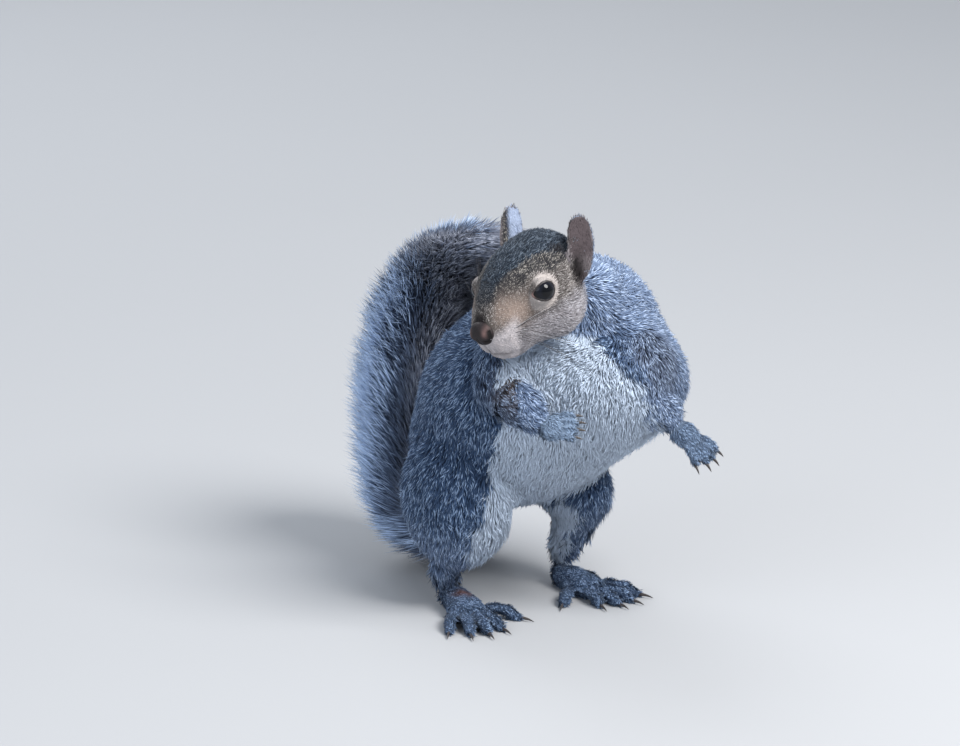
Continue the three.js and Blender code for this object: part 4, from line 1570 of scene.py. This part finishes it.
def growWhiskers():
    roots, ways, lengths, shades = [], [], [], []
    for sign in sideSigns.values():
        for i in range(whiskerLook["onPad"]):
            row, column = i % 4, i // 4
            back = whiskerLook["pad"][0] + whiskerLook["spacing"][0] * column + 0.4 * row
            up = whiskerLook["pad"][1] + whiskerLook["spacing"][1] * row
            roots.append((-back, sign * whiskerLook["aside"], up))
            (ahead, aside, rise), (onward, apart, down) = whiskerLook["way"], whiskerLook["fan"]
            ways.append((ahead + onward * column, sign * (aside + apart * row), rise - down * row))
            lengths.append(whiskerLook["shortest"] + whiskerLook["longer"] * column)
            shades.append(0.9 if (i * 7) % 5 == 0 else 0.05)
        for i in range(whiskerLook["overEye"]):
            roots.append((-20 + 1.5 * i, sign * whiskerLook["aside"], 15.5 + 0.4 * i))
            ways.append((-0.8, sign * 0.5, 0.55))
            lengths.append(15 + 2 * i)
            shades.append(0.05)
    roots, ways = head.outside(roots), unit(np.array(ways) @ head.axes)
    ways = unit(ways + draw.normal(0, 0.06, ways.shape))
    tree = BVHTree.FromPolygons(skin.places.tolist(), skin.faces.tolist())
    tubes, values, around = [], [], whiskerLook["around"]
    t = np.linspace(0, 1, whiskerLook["rings"])
    for root, way, length, shade in zip(roots, ways, lengths, shades):
        root = np.array(tree.find_nearest(root)[0])
        length = length * mm * draw.uniform(0.85, 1.15)
        fall = np.array([0, 0, -1.0]) * length * draw.uniform(0.08, 0.22)
        centre = root - way * 0.6 * mm + way * length * t[:, None] + fall * (t ** 2)[:, None]
        side = unit(np.cross(way, [0, 0, 1.0]))
        over = np.cross(side, way)
        radius = whiskerLook["thick"] * mm * (1 - 0.82 * t)
        rings = roundTube(centre, radius, side, over, around)
        tube, sides = closedTube(rings, centre[[0, -1]])
        tubes.append((tube, outward(tube, sides)))
        values.append(np.stack([np.concatenate([np.repeat(t, around), [0, 1]]),
                                np.full(len(tube), shade)], 1))
    places, faces = joinArrays(tubes)
    values = np.concatenate(values)
    piece = makeMesh("whiskers", places, faces, whiskerFinish(), {
        "rootPlace": places, "alongHair": values[:, 0], "tuftShade": values[:, 1]})
    setUp(piece, "head_fur")
    print("whiskers:", len(places), "corners")


growWhiskers()


sceneLook = {
    "aim": (-0.1405, -0.0329, 0.5476),  # of the model's box, from the middle of its foot
    "distance": 2.317,
    "elevation": 15,
    "lens": 200,
    "floor": (0.42, 0.43, 0.445),
    "air": (0.80, 0.86, 0.95),
    "airStrength": 0.6,
    "lights": {  # way from the model, distance, width, watts, colour
        "key": ((0.8, -0.65, 1.15), 1.6, 0.9, 38, (1.0, 0.98, 0.96)),
        "fill": ((-1.1, -0.9, 0.6), 1.8, 1.5, 9, (0.90, 0.95, 1.0)),
        "back": ((-0.5, 1.2, 1.0), 1.8, 1.2, 12, (0.95, 0.97, 1.0)),
    },
}


def floorFinish():
    finish = Finish("pale floor")
    place = finish.add("ShaderNodeTexCoord", {}, {}, 3)
    drift = finish.noise(place, 3.0, 2.0)
    low = tuple(0.97 * value for value in sceneLook["floor"])
    return finish.shader(Base_Color=finish.mix(drift, low, sceneLook["floor"]), Roughness=0.9)


def setStage():
    low, high = (np.array(corner) for corner in cadBounds)
    size = high - low
    foot = (low + high) / 2 * [1, 1, 0]
    target = Vector(foot + size * sceneLook["aim"])
    floor = makeMesh("floor", np.array([(-6, -6, 0), (6, -6, 0), (6, 9, 0), (-6, 9, 0)], float),
                     np.array([(0, 1, 2, 3)]), floorFinish())

    for name, (way, distance, width, power, colour) in sceneLook["lights"].items():
        light = bpy.data.lights.new(name, "AREA")
        light.shape, light.size, light.energy, light.color = "DISK", width, power, colour
        lamp = bpy.data.objects.new(name, light)
        bpy.context.scene.collection.objects.link(lamp)
        lamp.location = target + Vector(way).normalized() * distance
        lamp.rotation_euler = (target - lamp.location).to_track_quat("-Z", "Y").to_euler()

    bpy.context.scene.view_settings.view_transform = "Standard"
    world = bpy.data.worlds.new("studio")
    world.use_nodes = True
    air = world.node_tree.nodes["Background"].inputs
    air["Color"].default_value = (*sceneLook["air"], 1)
    air["Strength"].default_value = sceneLook["airStrength"]
    bpy.context.scene.world = world
    camera = bpy.data.objects.new("camera", bpy.data.cameras.new("camera"))
    bpy.context.scene.collection.objects.link(camera)
    camera.data.lens = sceneLook["lens"]
    lift = math.radians(sceneLook["elevation"])
    camera.location = target + Vector((0, -math.cos(lift), math.sin(lift))) * sceneLook["distance"]
    camera.rotation_euler = (target - camera.location).to_track_quat("-Z", "Y").to_euler()
    camera.data.clip_end = 50
    bpy.context.scene.camera = camera
    print("stage set:", len(sceneLook["lights"]), "lights")


setStage()
